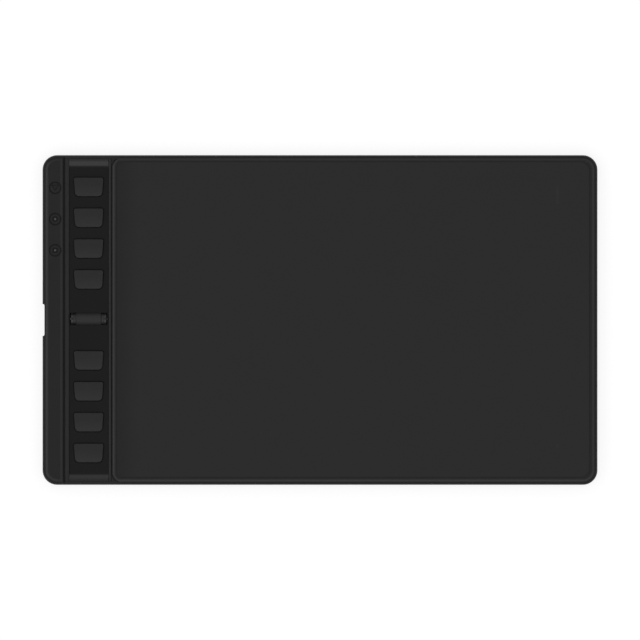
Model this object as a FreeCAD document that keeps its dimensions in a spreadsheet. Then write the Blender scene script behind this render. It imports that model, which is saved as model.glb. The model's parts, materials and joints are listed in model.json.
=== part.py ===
import FreeCAD, Part
import math
import os
import re
import Sketcher

# Pen tablet, lying on its rubber feet: X along the case, Y away from the user, Z up, origin on the
# desk under the middle of the case. All sizes are in millimetres.

SIZES = {
    # Case
    "case_length": 305.0,
    "case_depth": 181.2,
    "case_height": 9.0,
    "plan_corner": 8.0,
    "top_round": 3.6,
    "base_round": 1.2,
    "foot_height": 0.7,
    "parting_height": 2.4,
    "wall": 1.8,
    "roof": 1.6,
    "floor": 1.2,
    "lip_height": 0.8,
    "lip_thickness": 0.9,
    "lip_gap": 0.15,
    "parting_bevel": 0.2,
    # Valley between the left rail and the drawing plate, where the key tray sits
    "rail_width": 11.7,
    "valley_width": 26.7,
    "valley_depth": 1.1,
    "rail_shoulder": 2.3,
    "rail_corner": 2.4,
    "plate_shoulder": 1.9,
    "plate_corner": 3.3,
    "groove_width": 0.8,
    "groove_depth": 0.6,
    "window_margin": 2.0,
    # Drawing sheet in its bed
    "sheet_thickness": 0.5,
    "sheet_gap": 0.1,
    "sheet_left_margin": 2.3,
    "sheet_right_margin": 4.5,
    "sheet_far_margin": 3.7,
    "sheet_near_margin": 4.2,
    "sheet_left_corner": 3.0,
    "sheet_right_corner": 5.0,
    # Cable socket and its notch
    "notch_width": 17.6,
    "notch_depth": 1.1,
    "notch_corner": 0.9,
    "port_width": 8.94,
    "port_height": 3.16,
    "port_length": 7.3,
    "port_skin": 0.3,
    "port_gap": 0.22,
    "port_setback": 0.1,
    "tongue_width": 6.7,
    "tongue_thickness": 0.7,
    "tongue_setback": 0.9,
    # Indicator lights, each in a round groove with an engraved symbol
    "indicator_inset": 7.0,
    "indicator_far_margin": 18.0,
    "indicator_pitch": 17.15,
    "halo_radius": 3.5,
    "halo_width": 0.8,
    "halo_depth": 0.45,
    "symbol_depth": 0.35,
    "triangle_width": 4.6,
    "triangle_height": 3.4,
    "triangle_line": 0.45,
    "disc_radius": 1.6,
    "square_side": 3.0,
    "square_corner": 0.5,
    "lens_radius": 0.6,
    "lens_gap": 0.05,
    "lens_flange_radius": 1.3,
    "led_length": 1.6,
    "led_width": 0.8,
    "led_height": 0.6,
    "led_gap": 0.3,
    # Key tray
    "tray_drop": 1.0,
    "tray_floor": 1.1,
    "tray_seam": 0.12,
    "tray_end_gap": 0.1,
    "left_rim": 2.15,
    "right_rim": 1.5,
    "left_rim_top": 1.95,
    "right_rim_top": 1.3,
    "rim_round": 0.4,
    "far_ramp": 4.9,
    "near_ramp": 4.6,
    "tray_flange": 3.0,
    "tray_flange_thickness": 0.6,
    "tray_flange_gap": 0.5,
    "stake_width": 1.4,
    "stake_gap": 0.1,
    "stake_depth": 1.0,
    "stake_end_margin": 19.2,
    # Keys
    "key_first": 22.25,
    "key_end_margin": 15.4,
    "key_offset": 0.35,
    "key_far_width": 16.6,
    "key_near_width": 14.9,
    "key_depth": 10.6,
    "key_far_corner": 1.2,
    "key_near_corner": 2.4,
    "key_far_rise": 1.6,
    "key_near_rise": 0.7,
    "key_crown": 40.0,
    "key_edge_bevel": 0.35,
    "key_gap": 0.25,
    "key_skin": 1.0,
    "key_flange": 0.85,
    "key_flange_thickness": 0.6,
    "key_flange_gap": 0.1,
    "key_post_radius": 1.2,
    "key_post_drop": 0.1,
    "key_travel": 0.5,
    # Switches under the keys
    "switch_width": 5.2,
    "switch_height": 0.7,
    "stem_width": 1.6,
    "stem_fit": 0.06,
    # Main board
    "board_gap": 0.35,
    "board_standoff": 0.5,
    "board_thickness": 0.8,
    "board_right_margin": 8.1,
    "board_end_margin": 10.6,
    "board_corner": 2.0,
    "standoff_radius": 2.0,
    "board_screw_inset": 3.6,
    "board_screw_radius": 0.8,
    "board_screw_head_radius": 1.5,
    "board_screw_head": 0.8,
    "screw_fit": 0.05,
    "pilot_depth": 1.3,
    "pilot_spare": 0.2,
    # Scroll roller
    "roller_y": 0.6,
    "roller_radius": 3.6,
    "roller_axis_height": 5.2,
    "roller_length": 19.8,
    "tyre_length": 14.0,
    "tyre_bore": 2.8,
    "neck_radius": 2.7,
    "rim_width": 1.4,
    "roller_bevel": 0.35,
    "roller_gap": 0.3,
    "slot_gap": 0.15,
    "roller_dish": 0.6,
    "dish_gap": 0.8,
    "axle_radius": 0.6,
    "axle_fit": 0.03,
    "axle_gap": 0.15,
    "arm_thickness": 1.2,
    "arm_gap": 0.5,
    "arm_above_axis": 0.15,
    "cradle_bar": 1.3,
    "cradle_bar_height": 1.2,
    "encoder_gap": 0.2,
    "encoder_length": 4.4,
    "encoder_width": 6.4,
    "encoder_height": 3.5,
    "rotor_radius": 0.95,
    "rotor_length": 2.4,
    # Mode button and its side switch
    "mode_y": 24.75,
    "mode_length": 7.0,
    "mode_height": 2.2,
    "mode_gap": 0.15,
    "mode_setback": 0.15,
    "mode_flange": 0.3,
    "mode_flange_thickness": 0.6,
    "mode_flange_gap": 0.05,
    "mode_travel": 0.5,
    "mode_switch_length": 3.4,
    "mode_switch_width": 6.0,
    "mode_switch_height": 3.0,
    "mode_axis_rise": 1.5,
    "mode_stem_radius": 0.7,
    "mode_stem_grip": 0.3,
    # Pen sensing stack under the drawing sheet
    "sensor_left_margin": 16.1,
    "sensor_right_margin": 11.5,
    "sensor_end_margin": 11.6,
    "sensor_corner": 3.0,
    "sensor_thickness": 0.8,
    "foam_thickness": 0.5,
    "shield_thickness": 0.5,
    "sensor_tab": 6.0,
    "sensor_tab_width": 16.0,
    "rib_thickness": 1.0,
    "rib_margin": 7.0,
    "cross_rib_margin": 19.0,
    # Ribbon cable between the boards
    "ribbon_end_margin": 40.0,
    "ribbon_width": 10.0,
    "ribbon_thickness": 0.3,
    "ribbon_lead": 0.5,
    "connector_inset": 1.0,
    "connector_side": 1.0,
    "connector_length": 3.0,
    "connector_height": 1.2,
    # Chips on the main board
    "chip_inset": 7.25,
    "controller_y": -26.0,
    "controller_side": 7.0,
    "controller_rise": 0.9,
    "driver_y": 10.0,
    "driver_side": 5.0,
    "driver_rise": 0.8,
    "regulator_y": -38.0,
    "regulator_side": 3.0,
    "regulator_rise": 0.7,
    # Case screws and feet
    "screw_inset": 4.7,
    "screw_radius": 1.0,
    "screw_length": 4.0,
    "screw_spare": 0.3,
    "screw_head_radius": 1.9,
    "screw_head": 1.3,
    "screw_head_recess": 0.1,
    "screw_head_gap": 0.2,
    "boss_radius": 2.4,
    "post_width": 5.6,
    "post_height": 1.0,
    "foot_inset_x": 24.0,
    "foot_inset_y": 13.0,
    "foot_length": 18.0,
    "foot_width": 6.0,
    "foot_seat": 0.3,
    "foot_gap": 0.1,
}

# Levels above the desk and lines in plan, as expressions on the sizes
EDGE_X = "(case_length / 2)"
EDGE_Y = "(case_depth / 2)"
ROOF_UNDER = "(case_height - roof)"
FLOOR_TOP = "(foot_height + floor)"
VALLEY_TOP = "(case_height - valley_depth)"
VALLEY_LEFT = "(-case_length / 2 + rail_width)"
VALLEY_RIGHT = "(-case_length / 2 + rail_width + valley_width)"
WINDOW_END = "(case_depth / 2 - window_margin)"
TRAY_LEFT = f"({VALLEY_LEFT} + groove_width)"
TRAY_RIGHT = f"({VALLEY_RIGHT} - tray_seam)"
TRAY_END = f"({WINDOW_END} - tray_end_gap)"
TRAY_TOP = f"({VALLEY_TOP} - tray_drop)"
TRAY_UNDER = f"({TRAY_TOP} - tray_floor)"
CHANNEL_LEFT = f"({TRAY_LEFT} + left_rim)"
CHANNEL_RIGHT = f"({TRAY_RIGHT} - right_rim)"
KEY_LINE = f"(({CHANNEL_LEFT} + {CHANNEL_RIGHT}) / 2 - key_offset)"
BOARD_UNDER = f"({FLOOR_TOP} + board_standoff)"
BOARD_TOP = f"({BOARD_UNDER} + board_thickness)"
BOARD_LEFT = "(-case_length / 2 + wall + lip_gap + lip_thickness + board_gap)"
BOARD_RIGHT = f"({VALLEY_RIGHT} + board_right_margin)"
BOARD_END = f"({EDGE_Y} - board_end_margin)"
SWITCH_TOP = f"({BOARD_TOP} + switch_height)"
KEY_FLANGE_TOP = f"({TRAY_UNDER} - key_flange_gap)"
KEY_FLANGE_UNDER = f"({KEY_FLANGE_TOP} - key_flange_thickness)"
STEM_TOP = f"({KEY_FLANGE_UNDER} - key_post_drop)"
NOTCH_FACE = "(-case_length / 2 + notch_depth)"
PORT_MOUTH = f"({NOTCH_FACE} + port_setback)"
PORT_AXIS = f"({BOARD_TOP} + port_height / 2)"
INNER_LEFT = "(-case_length / 2 + wall)"
LAMP_X = "(-case_length / 2 + indicator_inset)"
ROLLER_TOP_SLOT = "(roller_length / 2 + roller_gap)"
ARM_INNER = f"({ROLLER_TOP_SLOT} + roller_gap)"
SENSOR_LEFT = f"({VALLEY_RIGHT} + sensor_left_margin)"
SENSOR_RIGHT = f"({EDGE_X} - sensor_right_margin)"
SENSOR_END = f"({EDGE_Y} - sensor_end_margin)"
SENSOR_UNDER = f"({ROOF_UNDER} - sensor_thickness)"
SHIELD_TOP = f"({SENSOR_UNDER} - foam_thickness)"
SHIELD_UNDER = f"({SHIELD_TOP} - shield_thickness)"
POST_TOP = f"({FLOOR_TOP} + post_height)"
SCREW_X = f"({EDGE_X} - wall - screw_inset)"
SCREW_Y = f"({EDGE_Y} - wall - screw_inset)"
SCREW_SEAT = "(foot_height + screw_head_recess + screw_head)"
MODE_AXIS = f"({BOARD_TOP} + mode_axis_rise)"
FLANGE_END = f"({SCREW_Y} - boss_radius - tray_flange_gap)"
RIBBON_Y = f"({BOARD_END} - ribbon_end_margin)"
LEFT_ARM = f"({KEY_LINE} - {ARM_INNER} - arm_thickness)"
RIGHT_ARM = f"({KEY_LINE} + {ARM_INNER} + arm_thickness)"
ENCODER_LEFT = f"(max({TRAY_RIGHT} + tray_seam; {RIGHT_ARM}) + encoder_gap)"
ROTOR_RIGHT = f"({ENCODER_LEFT} + rotor_length)"

# How far a cut runs past the material, how near two numbers count as the same, and how often pieces repeat
BEYOND = 1
NEAR = 1e-3
KEYS_IN_HALF = 4
LAMPS = 3
RIBS = 6
CROSS_RIBS = 4

SCREW_PLACES = [(x, y) for x in (f"-{SCREW_X}", "0", SCREW_X) for y in (SCREW_Y, f"-{SCREW_Y}")]
BOARD_CORNER_X = (f"({BOARD_LEFT} + board_screw_inset)", f"({BOARD_RIGHT} - board_screw_inset)")
BOARD_CORNER_Y = (f"(board_screw_inset - {BOARD_END})", f"({BOARD_END} - board_screw_inset)")
BOARD_SCREW_PLACES = list(zip(BOARD_CORNER_X, BOARD_CORNER_Y))
BOARD_PAD_PLACES = list(zip(BOARD_CORNER_X, reversed(BOARD_CORNER_Y)))
FOOT_COLUMNS = {"left": f"(-{EDGE_X} + foot_inset_x)", "right": f"({EDGE_X} - foot_inset_x)"}
FOOT_ROWS = {"front": f"(-{EDGE_Y} + foot_inset_y)", "rear": f"({EDGE_Y} - foot_inset_y)"}
KEY_PITCH = f"(({TRAY_END} - key_end_margin - key_first) / {KEYS_IN_HALF - 1})"
KEY_ROWS = [f"(key_first + {row} * {KEY_PITCH})" for row in reversed(range(KEYS_IN_HALF))]
KEY_ROWS += [f"(-key_first - {row} * {KEY_PITCH})" for row in range(KEYS_IN_HALF)]
LAMP_ROWS = [f"({EDGE_Y} - indicator_far_margin - {row} * indicator_pitch)" for row in range(LAMPS)]
STAKE_COLUMNS = [f"({VALLEY_LEFT} - tray_flange / 2)", f"({VALLEY_RIGHT} + tray_flange / 2)"]
STAKE_ROWS = [f"({share} * ({FLANGE_END} - stake_end_margin))" for share in (-1, -0.5, 0.5, 1)]
STAKE_PLACES = [(x, y) for x in STAKE_COLUMNS for y in STAKE_ROWS]

doc = FreeCAD.newDocument("pen_tablet")
sheet = doc.addObject("Spreadsheet::Sheet", "Sizes")
for row, (alias, number) in enumerate(SIZES.items(), 1):
    sheet.set(f"A{row}", alias)
    sheet.set(f"B{row}", str(number))
    sheet.setAlias(f"B{row}", alias)
doc.recompute()

parts = []


def bound(text):
    """The expression as a property reads it, with each size taken from the sheet."""
    return re.sub(r"\b[a-z_]+\b(?!\()", lambda word: f"Sizes.{word.group()}", text)


def value(text):
    """The number that an expression on the sizes gives now."""
    return float(sheet.evalExpression(text))


def bind(feature, **texts):
    """Binds properties to expressions; a double underscore in a name stands for a dot."""
    for name, text in texts.items():
        feature.setExpression(name.replace("__", "."), bound(text))
    return feature


def kept(feature, label):
    """Names a finished sub-part and puts it on the list that is written out."""
    feature.Label = label
    parts.append(feature)
    return feature


def rectangle(left, right, near, far, corner=None):
    """The corners of a rectangle in plan, rounded where a corner radius is given."""
    if corner is None:
        return [(left, near), (right, near), (right, far), (left, far)]
    return [
        (f"{left} + {corner}", near),
        (f"{right} - {corner}", near, corner, 1),
        (right, f"{near} + {corner}"),
        (right, f"{far} - {corner}", corner, 1),
        (f"{right} - {corner}", far),
        (f"{left} + {corner}", far, corner, 1),
        (left, f"{far} - {corner}"),
        (left, f"{near} + {corner}", corner, 1),
    ]


def centred(x, y, length, depth, corner=None):
    """A rectangle round a centre."""
    return rectangle(f"{x} - ({length}) / 2", f"{x} + ({length}) / 2",
                     f"{y} - ({depth}) / 2", f"{y} + ({depth}) / 2", corner)


def inset(distance):
    """The case's outline in plan, drawn in by a distance."""
    return rectangle(f"-{EDGE_X} + {distance}", f"{EDGE_X} - ({distance})",
                     f"-{EDGE_Y} + {distance}", f"{EDGE_Y} - ({distance})", f"(plan_corner - ({distance}))")


def arc_between(start, end, radius, turn):
    """An arc of under half a circle; turn is 1 where the way bends left, and -1 where it bends right."""
    chord = end - start
    rise = math.sqrt(max(radius ** 2 - chord.Length ** 2 / 4, 0))
    left = FreeCAD.Vector(-chord.y, chord.x, 0).normalize()
    centre = (start + end) * 0.5 + left * (rise * turn)
    first, last = (start, end) if turn > 0 else (end, start)
    angles = [math.atan2(point.y - centre.y, point.x - centre.x) for point in (first, last)]
    return Part.ArcOfCircle(Part.Circle(centre, FreeCAD.Vector(0, 0, 1), radius), *angles)


def place_rules(side, point, x, y):
    """Two dimensions that place a point of a side from the sketch's origin, each with its expression."""
    return [(Sketcher.Constraint("DistanceX", -1, 1, side, point, value(x)), x),
            (Sketcher.Constraint("DistanceY", -1, 1, side, point, value(y)), y)]


def add_rules(sketch, rules):
    """Adds dimensions and binds each to its expression."""
    numbers = sketch.addConstraint([rule for rule, text in rules])
    for number, (rule, text) in zip(numbers, rules):
        sketch.setExpression(f"Constraints[{number}]", bound(text))


def outline(sketch, corners):
    """A closed outline; a corner is X, Y and, where an arc follows it, the arc's radius and turn."""
    points = [FreeCAD.Vector(value(corner[0]), value(corner[1]), 0) for corner in corners]
    sides = []
    for number, corner in enumerate(corners):
        start, end = points[number], points[(number + 1) % len(points)]
        if len(corner) == 2:
            sides.append((sketch.addGeometry(Part.LineSegment(start, end)), 1, 2))
        else:
            arc = arc_between(start, end, value(corner[2]), corner[3])
            ends = (1, 2) if corner[3] > 0 else (2, 1)
            sides.append((sketch.addGeometry(arc), *ends))
    joins = []
    rules = []
    for number, (side, first, last) in enumerate(sides):
        follower, its_first, its_last = sides[(number + 1) % len(sides)]
        joins.append(Sketcher.Constraint("Coincident", side, last, follower, its_first))
        rules += place_rules(side, first, corners[number][0], corners[number][1])
        if len(corners[number]) > 2:
            radius = corners[number][2]
            rules.append((Sketcher.Constraint("Radius", side, value(radius)), radius))
    sketch.addConstraint(joins)
    add_rules(sketch, rules)


def circle(sketch, x, y, radius):
    """A circle, placed from the sketch's origin."""
    centre = FreeCAD.Vector(value(x), value(y), 0)
    ring = sketch.addGeometry(Part.Circle(centre, FreeCAD.Vector(0, 0, 1), value(radius)))
    rules = place_rules(ring, 3, x, y)
    rules.append((Sketcher.Constraint("Radius", ring, value(radius)), radius))
    add_rules(sketch, rules)


def new_body(label):
    """An empty body whose label names a sub-part."""
    return kept(doc.addObject("PartDesign::Body", "body"), label)


def sketch_on(body, plane, level, loops, shift="0"):
    """A sketch on one of the body's origin planes, moved along its normal to a level.

    XY looks down on X, Y. YZ looks along -X on Y, Z. XZ looks along +Y on X, Z, and its level is -Y.
    A loop is a list of corners, or a tuple of a circle's centre and radius. A shift moves the sketch's
    own origin along its first axis.
    """
    sketch = body.newObject("Sketcher::SketchObject", "sketch")
    support = next(item for item in body.Origin.OriginFeatures if item.Role == plane + "_Plane")
    sketch.AttachmentSupport = [(support, "")]
    sketch.MapMode = "FlatFace"
    bind(sketch, AttachmentOffset__Base__x=shift, AttachmentOffset__Base__z=level)
    for loop in loops:
        if isinstance(loop, tuple):
            circle(sketch, *loop)
        else:
            outline(sketch, loop)
    return sketch


def pad(body, low, high, *loops, plane="XY"):
    """Adds material between two levels."""
    profile = sketch_on(body, plane, low, loops)
    feature = body.newObject("PartDesign::Pad", "pad")
    feature.Profile = profile
    bind(feature, Length=f"({high}) - ({low})")
    return feature


def checked_cut(body, feature, before):
    """Makes sure that a cut was made and took material away."""
    doc.recompute()
    if "Invalid" in feature.State or not body.Shape.Volume < before - NEAR:
        raise ValueError(f"{feature.Name} of {body.Label} cuts nothing")


def pocket(body, low, high, *loops, plane="XY", shift="0"):
    """Takes material away between two levels."""
    doc.recompute()
    before = body.Shape.Volume
    profile = sketch_on(body, plane, high, loops, shift)
    feature = body.newObject("PartDesign::Pocket", "pocket")
    feature.Profile = profile
    bind(feature, Length=f"({high}) - ({low})")
    checked_cut(body, feature, before)


def quarter_cut(body, level, shift, backwards, loop):
    """Takes away what a profile in X, Z sweeps in a quarter turn about its own upright axis."""
    doc.recompute()
    before = body.Shape.Volume
    profile = sketch_on(body, "XZ", level, [loop], shift)
    feature = body.newObject("PartDesign::Groove", "quarter")
    feature.Profile = profile
    feature.ReferenceAxis = (profile, ["V_Axis"])
    feature.Angle = 90
    feature.Reversed = backwards
    checked_cut(body, feature, before)


def spin(body, *loops):
    """Turns a profile in X, Z a full turn about the X axis."""
    profile = sketch_on(body, "XZ", "0", loops)
    feature = body.newObject("PartDesign::Revolution", "spin")
    feature.Profile = profile
    feature.ReferenceAxis = (profile, ["H_Axis"])
    feature.Angle = 360
    return feature


def blend(body, radius, chosen):
    """Rounds the edges of the body that a test picks."""
    doc.recompute()
    base = body.Tip
    names = [f"Edge{number}" for number, edge in enumerate(base.Shape.Edges, 1) if chosen(edge)]
    if not names:
        raise ValueError(f"no edge of {body.Label} to round")
    feature = body.newObject("PartDesign::Fillet", "blend")
    feature.Base = (base, names)
    bind(feature, Radius=radius)
    doc.recompute()
    if "Invalid" in feature.State:
        raise ValueError(f"{feature.Name} of {body.Label} can't be rounded")


def bevel(body, size, chosen):
    """Cuts a small flat along the edges of the body that a test picks."""
    doc.recompute()
    base = body.Tip
    names = [f"Edge{number}" for number, edge in enumerate(base.Shape.Edges, 1) if chosen(edge)]
    if not names:
        raise ValueError(f"no edge of {body.Label} to bevel")
    feature = body.newObject("PartDesign::Chamfer", "bevel")
    feature.Base = (base, names)
    bind(feature, Size=size)
    doc.recompute()
    if "Invalid" in feature.State:
        raise ValueError(f"{feature.Name} of {body.Label} can't be cut")


def repeated(body, original, direction, occurrences, length):
    """Repeats a feature along one of the body's axes."""
    feature = body.newObject("PartDesign::LinearPattern", "pattern")
    feature.Originals = [original]
    axis = next(item for item in body.Origin.OriginFeatures if item.Role == direction + "_Axis")
    feature.Direction = (axis, [""])
    feature.Occurrences = occurrences
    bind(feature, Length=length)
    body.Tip = feature
    return feature


def level_edge(edge, height):
    """Whether an edge lies flat at a height."""
    box = edge.BoundBox
    return abs(box.ZMin - height) < NEAR and abs(box.ZMax - height) < NEAR


def upright_edge(edge):
    """Whether an edge runs straight up."""
    box = edge.BoundBox
    return box.XLength < NEAR and box.YLength < NEAR


def placed(feature, x="0", y="0", z="0"):
    """Binds the place of a feature."""
    return bind(feature, Placement__Base__x=x, Placement__Base__y=y, Placement__Base__z=z)


def block(left, right, near, far, low, high):
    """A box between pairs of expressions."""
    feature = doc.addObject("Part::Box", "block")
    bind(feature, Length=f"({right}) - ({left})", Width=f"({far}) - ({near})", Height=f"({high}) - ({low})")
    return placed(feature, left, near, low)


def rod(x, y, low, high, radius):
    """An upright cylinder."""
    feature = doc.addObject("Part::Cylinder", "rod")
    bind(feature, Radius=radius, Height=f"({high}) - ({low})")
    return placed(feature, x, y, low)


def bar(left, right, y, z, radius):
    """A cylinder along X."""
    feature = doc.addObject("Part::Cylinder", "bar")
    feature.Placement.Rotation = FreeCAD.Rotation(FreeCAD.Vector(0, 1, 0), 90)
    bind(feature, Radius=radius, Height=f"({right}) - ({left})")
    return placed(feature, left, y, z)


def fused(*pieces):
    """One solid made of several that touch."""
    feature = doc.addObject("Part::MultiFuse", "fused")
    feature.Shapes = list(pieces)
    return feature


def group(*pieces):
    """Separate solids of one kind, kept together."""
    feature = doc.addObject("Part::Compound", "group")
    feature.Links = list(pieces)
    return feature


def less(base, *tools):
    """A solid with others taken away."""
    feature = doc.addObject("Part::Cut", "less")
    feature.Base = base
    feature.Tool = group(*tools) if len(tools) > 1 else tools[0]
    return feature


def key_outline(gap):
    """The tapering outline of a key round its own centre, widened by a gap."""
    return [
        (f"-key_near_width / 2 - {gap}", f"-key_depth / 2 - {gap}"),
        (f"key_near_width / 2 + {gap}", f"-key_depth / 2 - {gap}"),
        (f"key_far_width / 2 + {gap}", f"key_depth / 2 + {gap}"),
        (f"-key_far_width / 2 - {gap}", f"key_depth / 2 + {gap}"),
    ]


def moved(corners, x, y):
    """An outline moved in plan."""
    return [(f"{x} + {corner[0]}", f"{y} + {corner[1]}", *corner[2:]) for corner in corners]


def notch():
    """The shallow notch in the left edge, open to the left."""
    beyond = f"(-{EDGE_X} - notch_depth)"
    half = "notch_width / 2"
    return [
        (beyond, f"-{half}"),
        (f"{NOTCH_FACE} - notch_corner", f"-{half}", "notch_corner", 1),
        (NOTCH_FACE, f"-{half} + notch_corner"),
        (NOTCH_FACE, f"{half} - notch_corner", "notch_corner", 1),
        (f"{NOTCH_FACE} - notch_corner", half),
        (beyond, half),
    ]


def cut_valley_side(body, wall_x, shoulder, corner, side):
    """Cuts half of the valley along one wall, with a round shoulder that turns away at both ends.

    The wall faces +X where side is 1 and -X where it is -1; shoulder is the width that the round takes
    of the top, and corner is the wall's corner radius in plan.
    """
    sign = "" if side > 0 else "-"
    centre_x = f"({wall_x} - {side} * {corner})"
    reach = f"{sign}({corner} + valley_width / 2 + {BEYOND})"
    above = f"(case_height + {BEYOND})"
    shoulder_radius = f"(({shoulder} ^ 2 + valley_depth ^ 2) / (2 * valley_depth))"
    section = [
        (f"{sign}{corner}", VALLEY_TOP),
        (reach, VALLEY_TOP),
        (reach, above),
        (f"{sign}({corner} - {shoulder})", above),
        (f"{sign}({corner} - {shoulder})", "case_height", shoulder_radius, -side),
    ]
    straight = f"({EDGE_Y} - {corner})"
    pocket(body, f"-{straight}", straight, section, plane="XZ", shift=centre_x)
    quarter_cut(body, f"-{straight}", centre_x, side < 0, section)
    quarter_cut(body, straight, centre_x, side > 0, section)


def sheet_bed(gap):
    """The bed of the drawing sheet, drawn in by a gap; its right corners are rounder."""
    left = f"({VALLEY_RIGHT} + sheet_left_margin + {gap})"
    right = f"({EDGE_X} - sheet_right_margin - {gap})"
    near = f"(-{EDGE_Y} + sheet_near_margin + {gap})"
    far = f"({EDGE_Y} - sheet_far_margin - {gap})"
    small = f"(sheet_left_corner - {gap})"
    large = f"(sheet_right_corner - {gap})"
    return [
        (f"{left} + {small}", near),
        (f"{right} - {large}", near, large, 1),
        (right, f"{near} + {large}"),
        (right, f"{far} - {large}", large, 1),
        (f"{right} - {large}", far),
        (f"{left} + {small}", far, small, 1),
        (left, f"{far} - {small}"),
        (left, f"{near} + {small}", small, 1),
    ]


def stadium(y, z, width, height):
    """A slot with round ends, in Y, Z."""
    half = f"({width}) / 2"
    radius = f"(({height}) / 2)"
    return [
        (f"{y} - {half} + {radius}", f"{z} - {radius}"),
        (f"{y} + {half} - {radius}", f"{z} - {radius}", radius, 1),
        (f"{y} + {half}", f"{z}", radius, 1),
        (f"{y} + {half} - {radius}", f"{z} + {radius}"),
        (f"{y} - {half} + {radius}", f"{z} + {radius}", radius, 1),
        (f"{y} - {half}", f"{z}", radius, 1),
    ]


def triangle(y, shrink):
    """A triangle on its point round an indicator, drawn in by a distance."""
    round_all = "(triangle_width + (triangle_width ^ 2 + 4 * triangle_height ^ 2) ^ 0.5)"
    inner = f"(triangle_width * triangle_height / {round_all})"
    share = f"(1 - {shrink} / {inner})"
    middle = f"({y} + triangle_height / 2 - {inner})"
    half = f"(triangle_width / 2 * {share})"
    return [
        (LAMP_X, f"{middle} - (triangle_height - {inner}) * {share}"),
        (f"{LAMP_X} + {half}", f"{middle} + {inner} * {share}"),
        (f"{LAMP_X} - {half}", f"{middle} + {inner} * {share}"),
    ]


def make_top_housing():
    """The upper shell: walls, roof, rail, valley with the tray's window, and the sheet's bed."""
    body = new_body("top_housing")
    pad(body, "parting_height", "case_height", inset("0"))
    blend(body, "top_round", lambda edge: level_edge(edge, value("case_height")))
    bevel(body, "parting_bevel", lambda edge: level_edge(edge, value("parting_height")))
    pocket(body, "parting_height", ROOF_UNDER, inset("wall"))
    cut_valley_side(body, VALLEY_LEFT, "rail_shoulder", "rail_corner", 1)
    cut_valley_side(body, VALLEY_RIGHT, "plate_shoulder", "plate_corner", -1)
    pocket(body, f"({VALLEY_TOP} - groove_depth)", VALLEY_TOP,
           rectangle(VALLEY_LEFT, TRAY_LEFT, f"(-{EDGE_Y} - {BEYOND})", f"({EDGE_Y} + {BEYOND})"))
    pocket(body, f"({ROOF_UNDER} - {BEYOND})", "case_height",
           rectangle(VALLEY_LEFT, VALLEY_RIGHT, f"-{WINDOW_END}", WINDOW_END))
    pocket(body, "(case_height - sheet_thickness)", "case_height", sheet_bed("0"))
    pocket(body, "parting_height", "case_height", notch())
    pocket(body, f"({NOTCH_FACE} - {BEYOND})", f"({INNER_LEFT} + {BEYOND})",
           stadium("0", PORT_AXIS, "port_width + 2 * port_gap", "port_height + 2 * port_gap"), plane="YZ")
    pocket(body, f"(-{EDGE_X} - {BEYOND})", f"({INNER_LEFT} + {BEYOND})",
           stadium("mode_y", MODE_AXIS, "mode_length + 2 * mode_gap", "mode_height + 2 * mode_gap"), plane="YZ")
    for y in LAMP_ROWS:
        pocket(body, "(case_height - halo_depth)", "case_height",
               (LAMP_X, y, "halo_radius"), (LAMP_X, y, "(halo_radius - halo_width)"))
    symbol_floor = "(case_height - symbol_depth)"
    pocket(body, symbol_floor, "case_height", triangle(LAMP_ROWS[0], "0"), triangle(LAMP_ROWS[0], "triangle_line"))
    pocket(body, symbol_floor, "case_height", (LAMP_X, LAMP_ROWS[1], "disc_radius"))
    pocket(body, symbol_floor, "case_height",
           centred(LAMP_X, LAMP_ROWS[2], "square_side", "square_side", "square_corner"))
    pocket(body, f"({ROOF_UNDER} - {BEYOND})", "case_height",
           *[(LAMP_X, y, "(lens_radius + lens_gap)") for y in LAMP_ROWS])
    pad(body, POST_TOP, ROOF_UNDER, *[(x, y, "boss_radius") for x, y in SCREW_PLACES])
    pocket(body, POST_TOP, f"({SCREW_SEAT} + screw_length + screw_spare)",
           *[(x, y, "(screw_radius + screw_fit)") for x, y in SCREW_PLACES])
    pad(body, f"({ROOF_UNDER} - stake_depth)", ROOF_UNDER,
        *[centred(x, y, "stake_width", "stake_width") for x, y in STAKE_PLACES])


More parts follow.
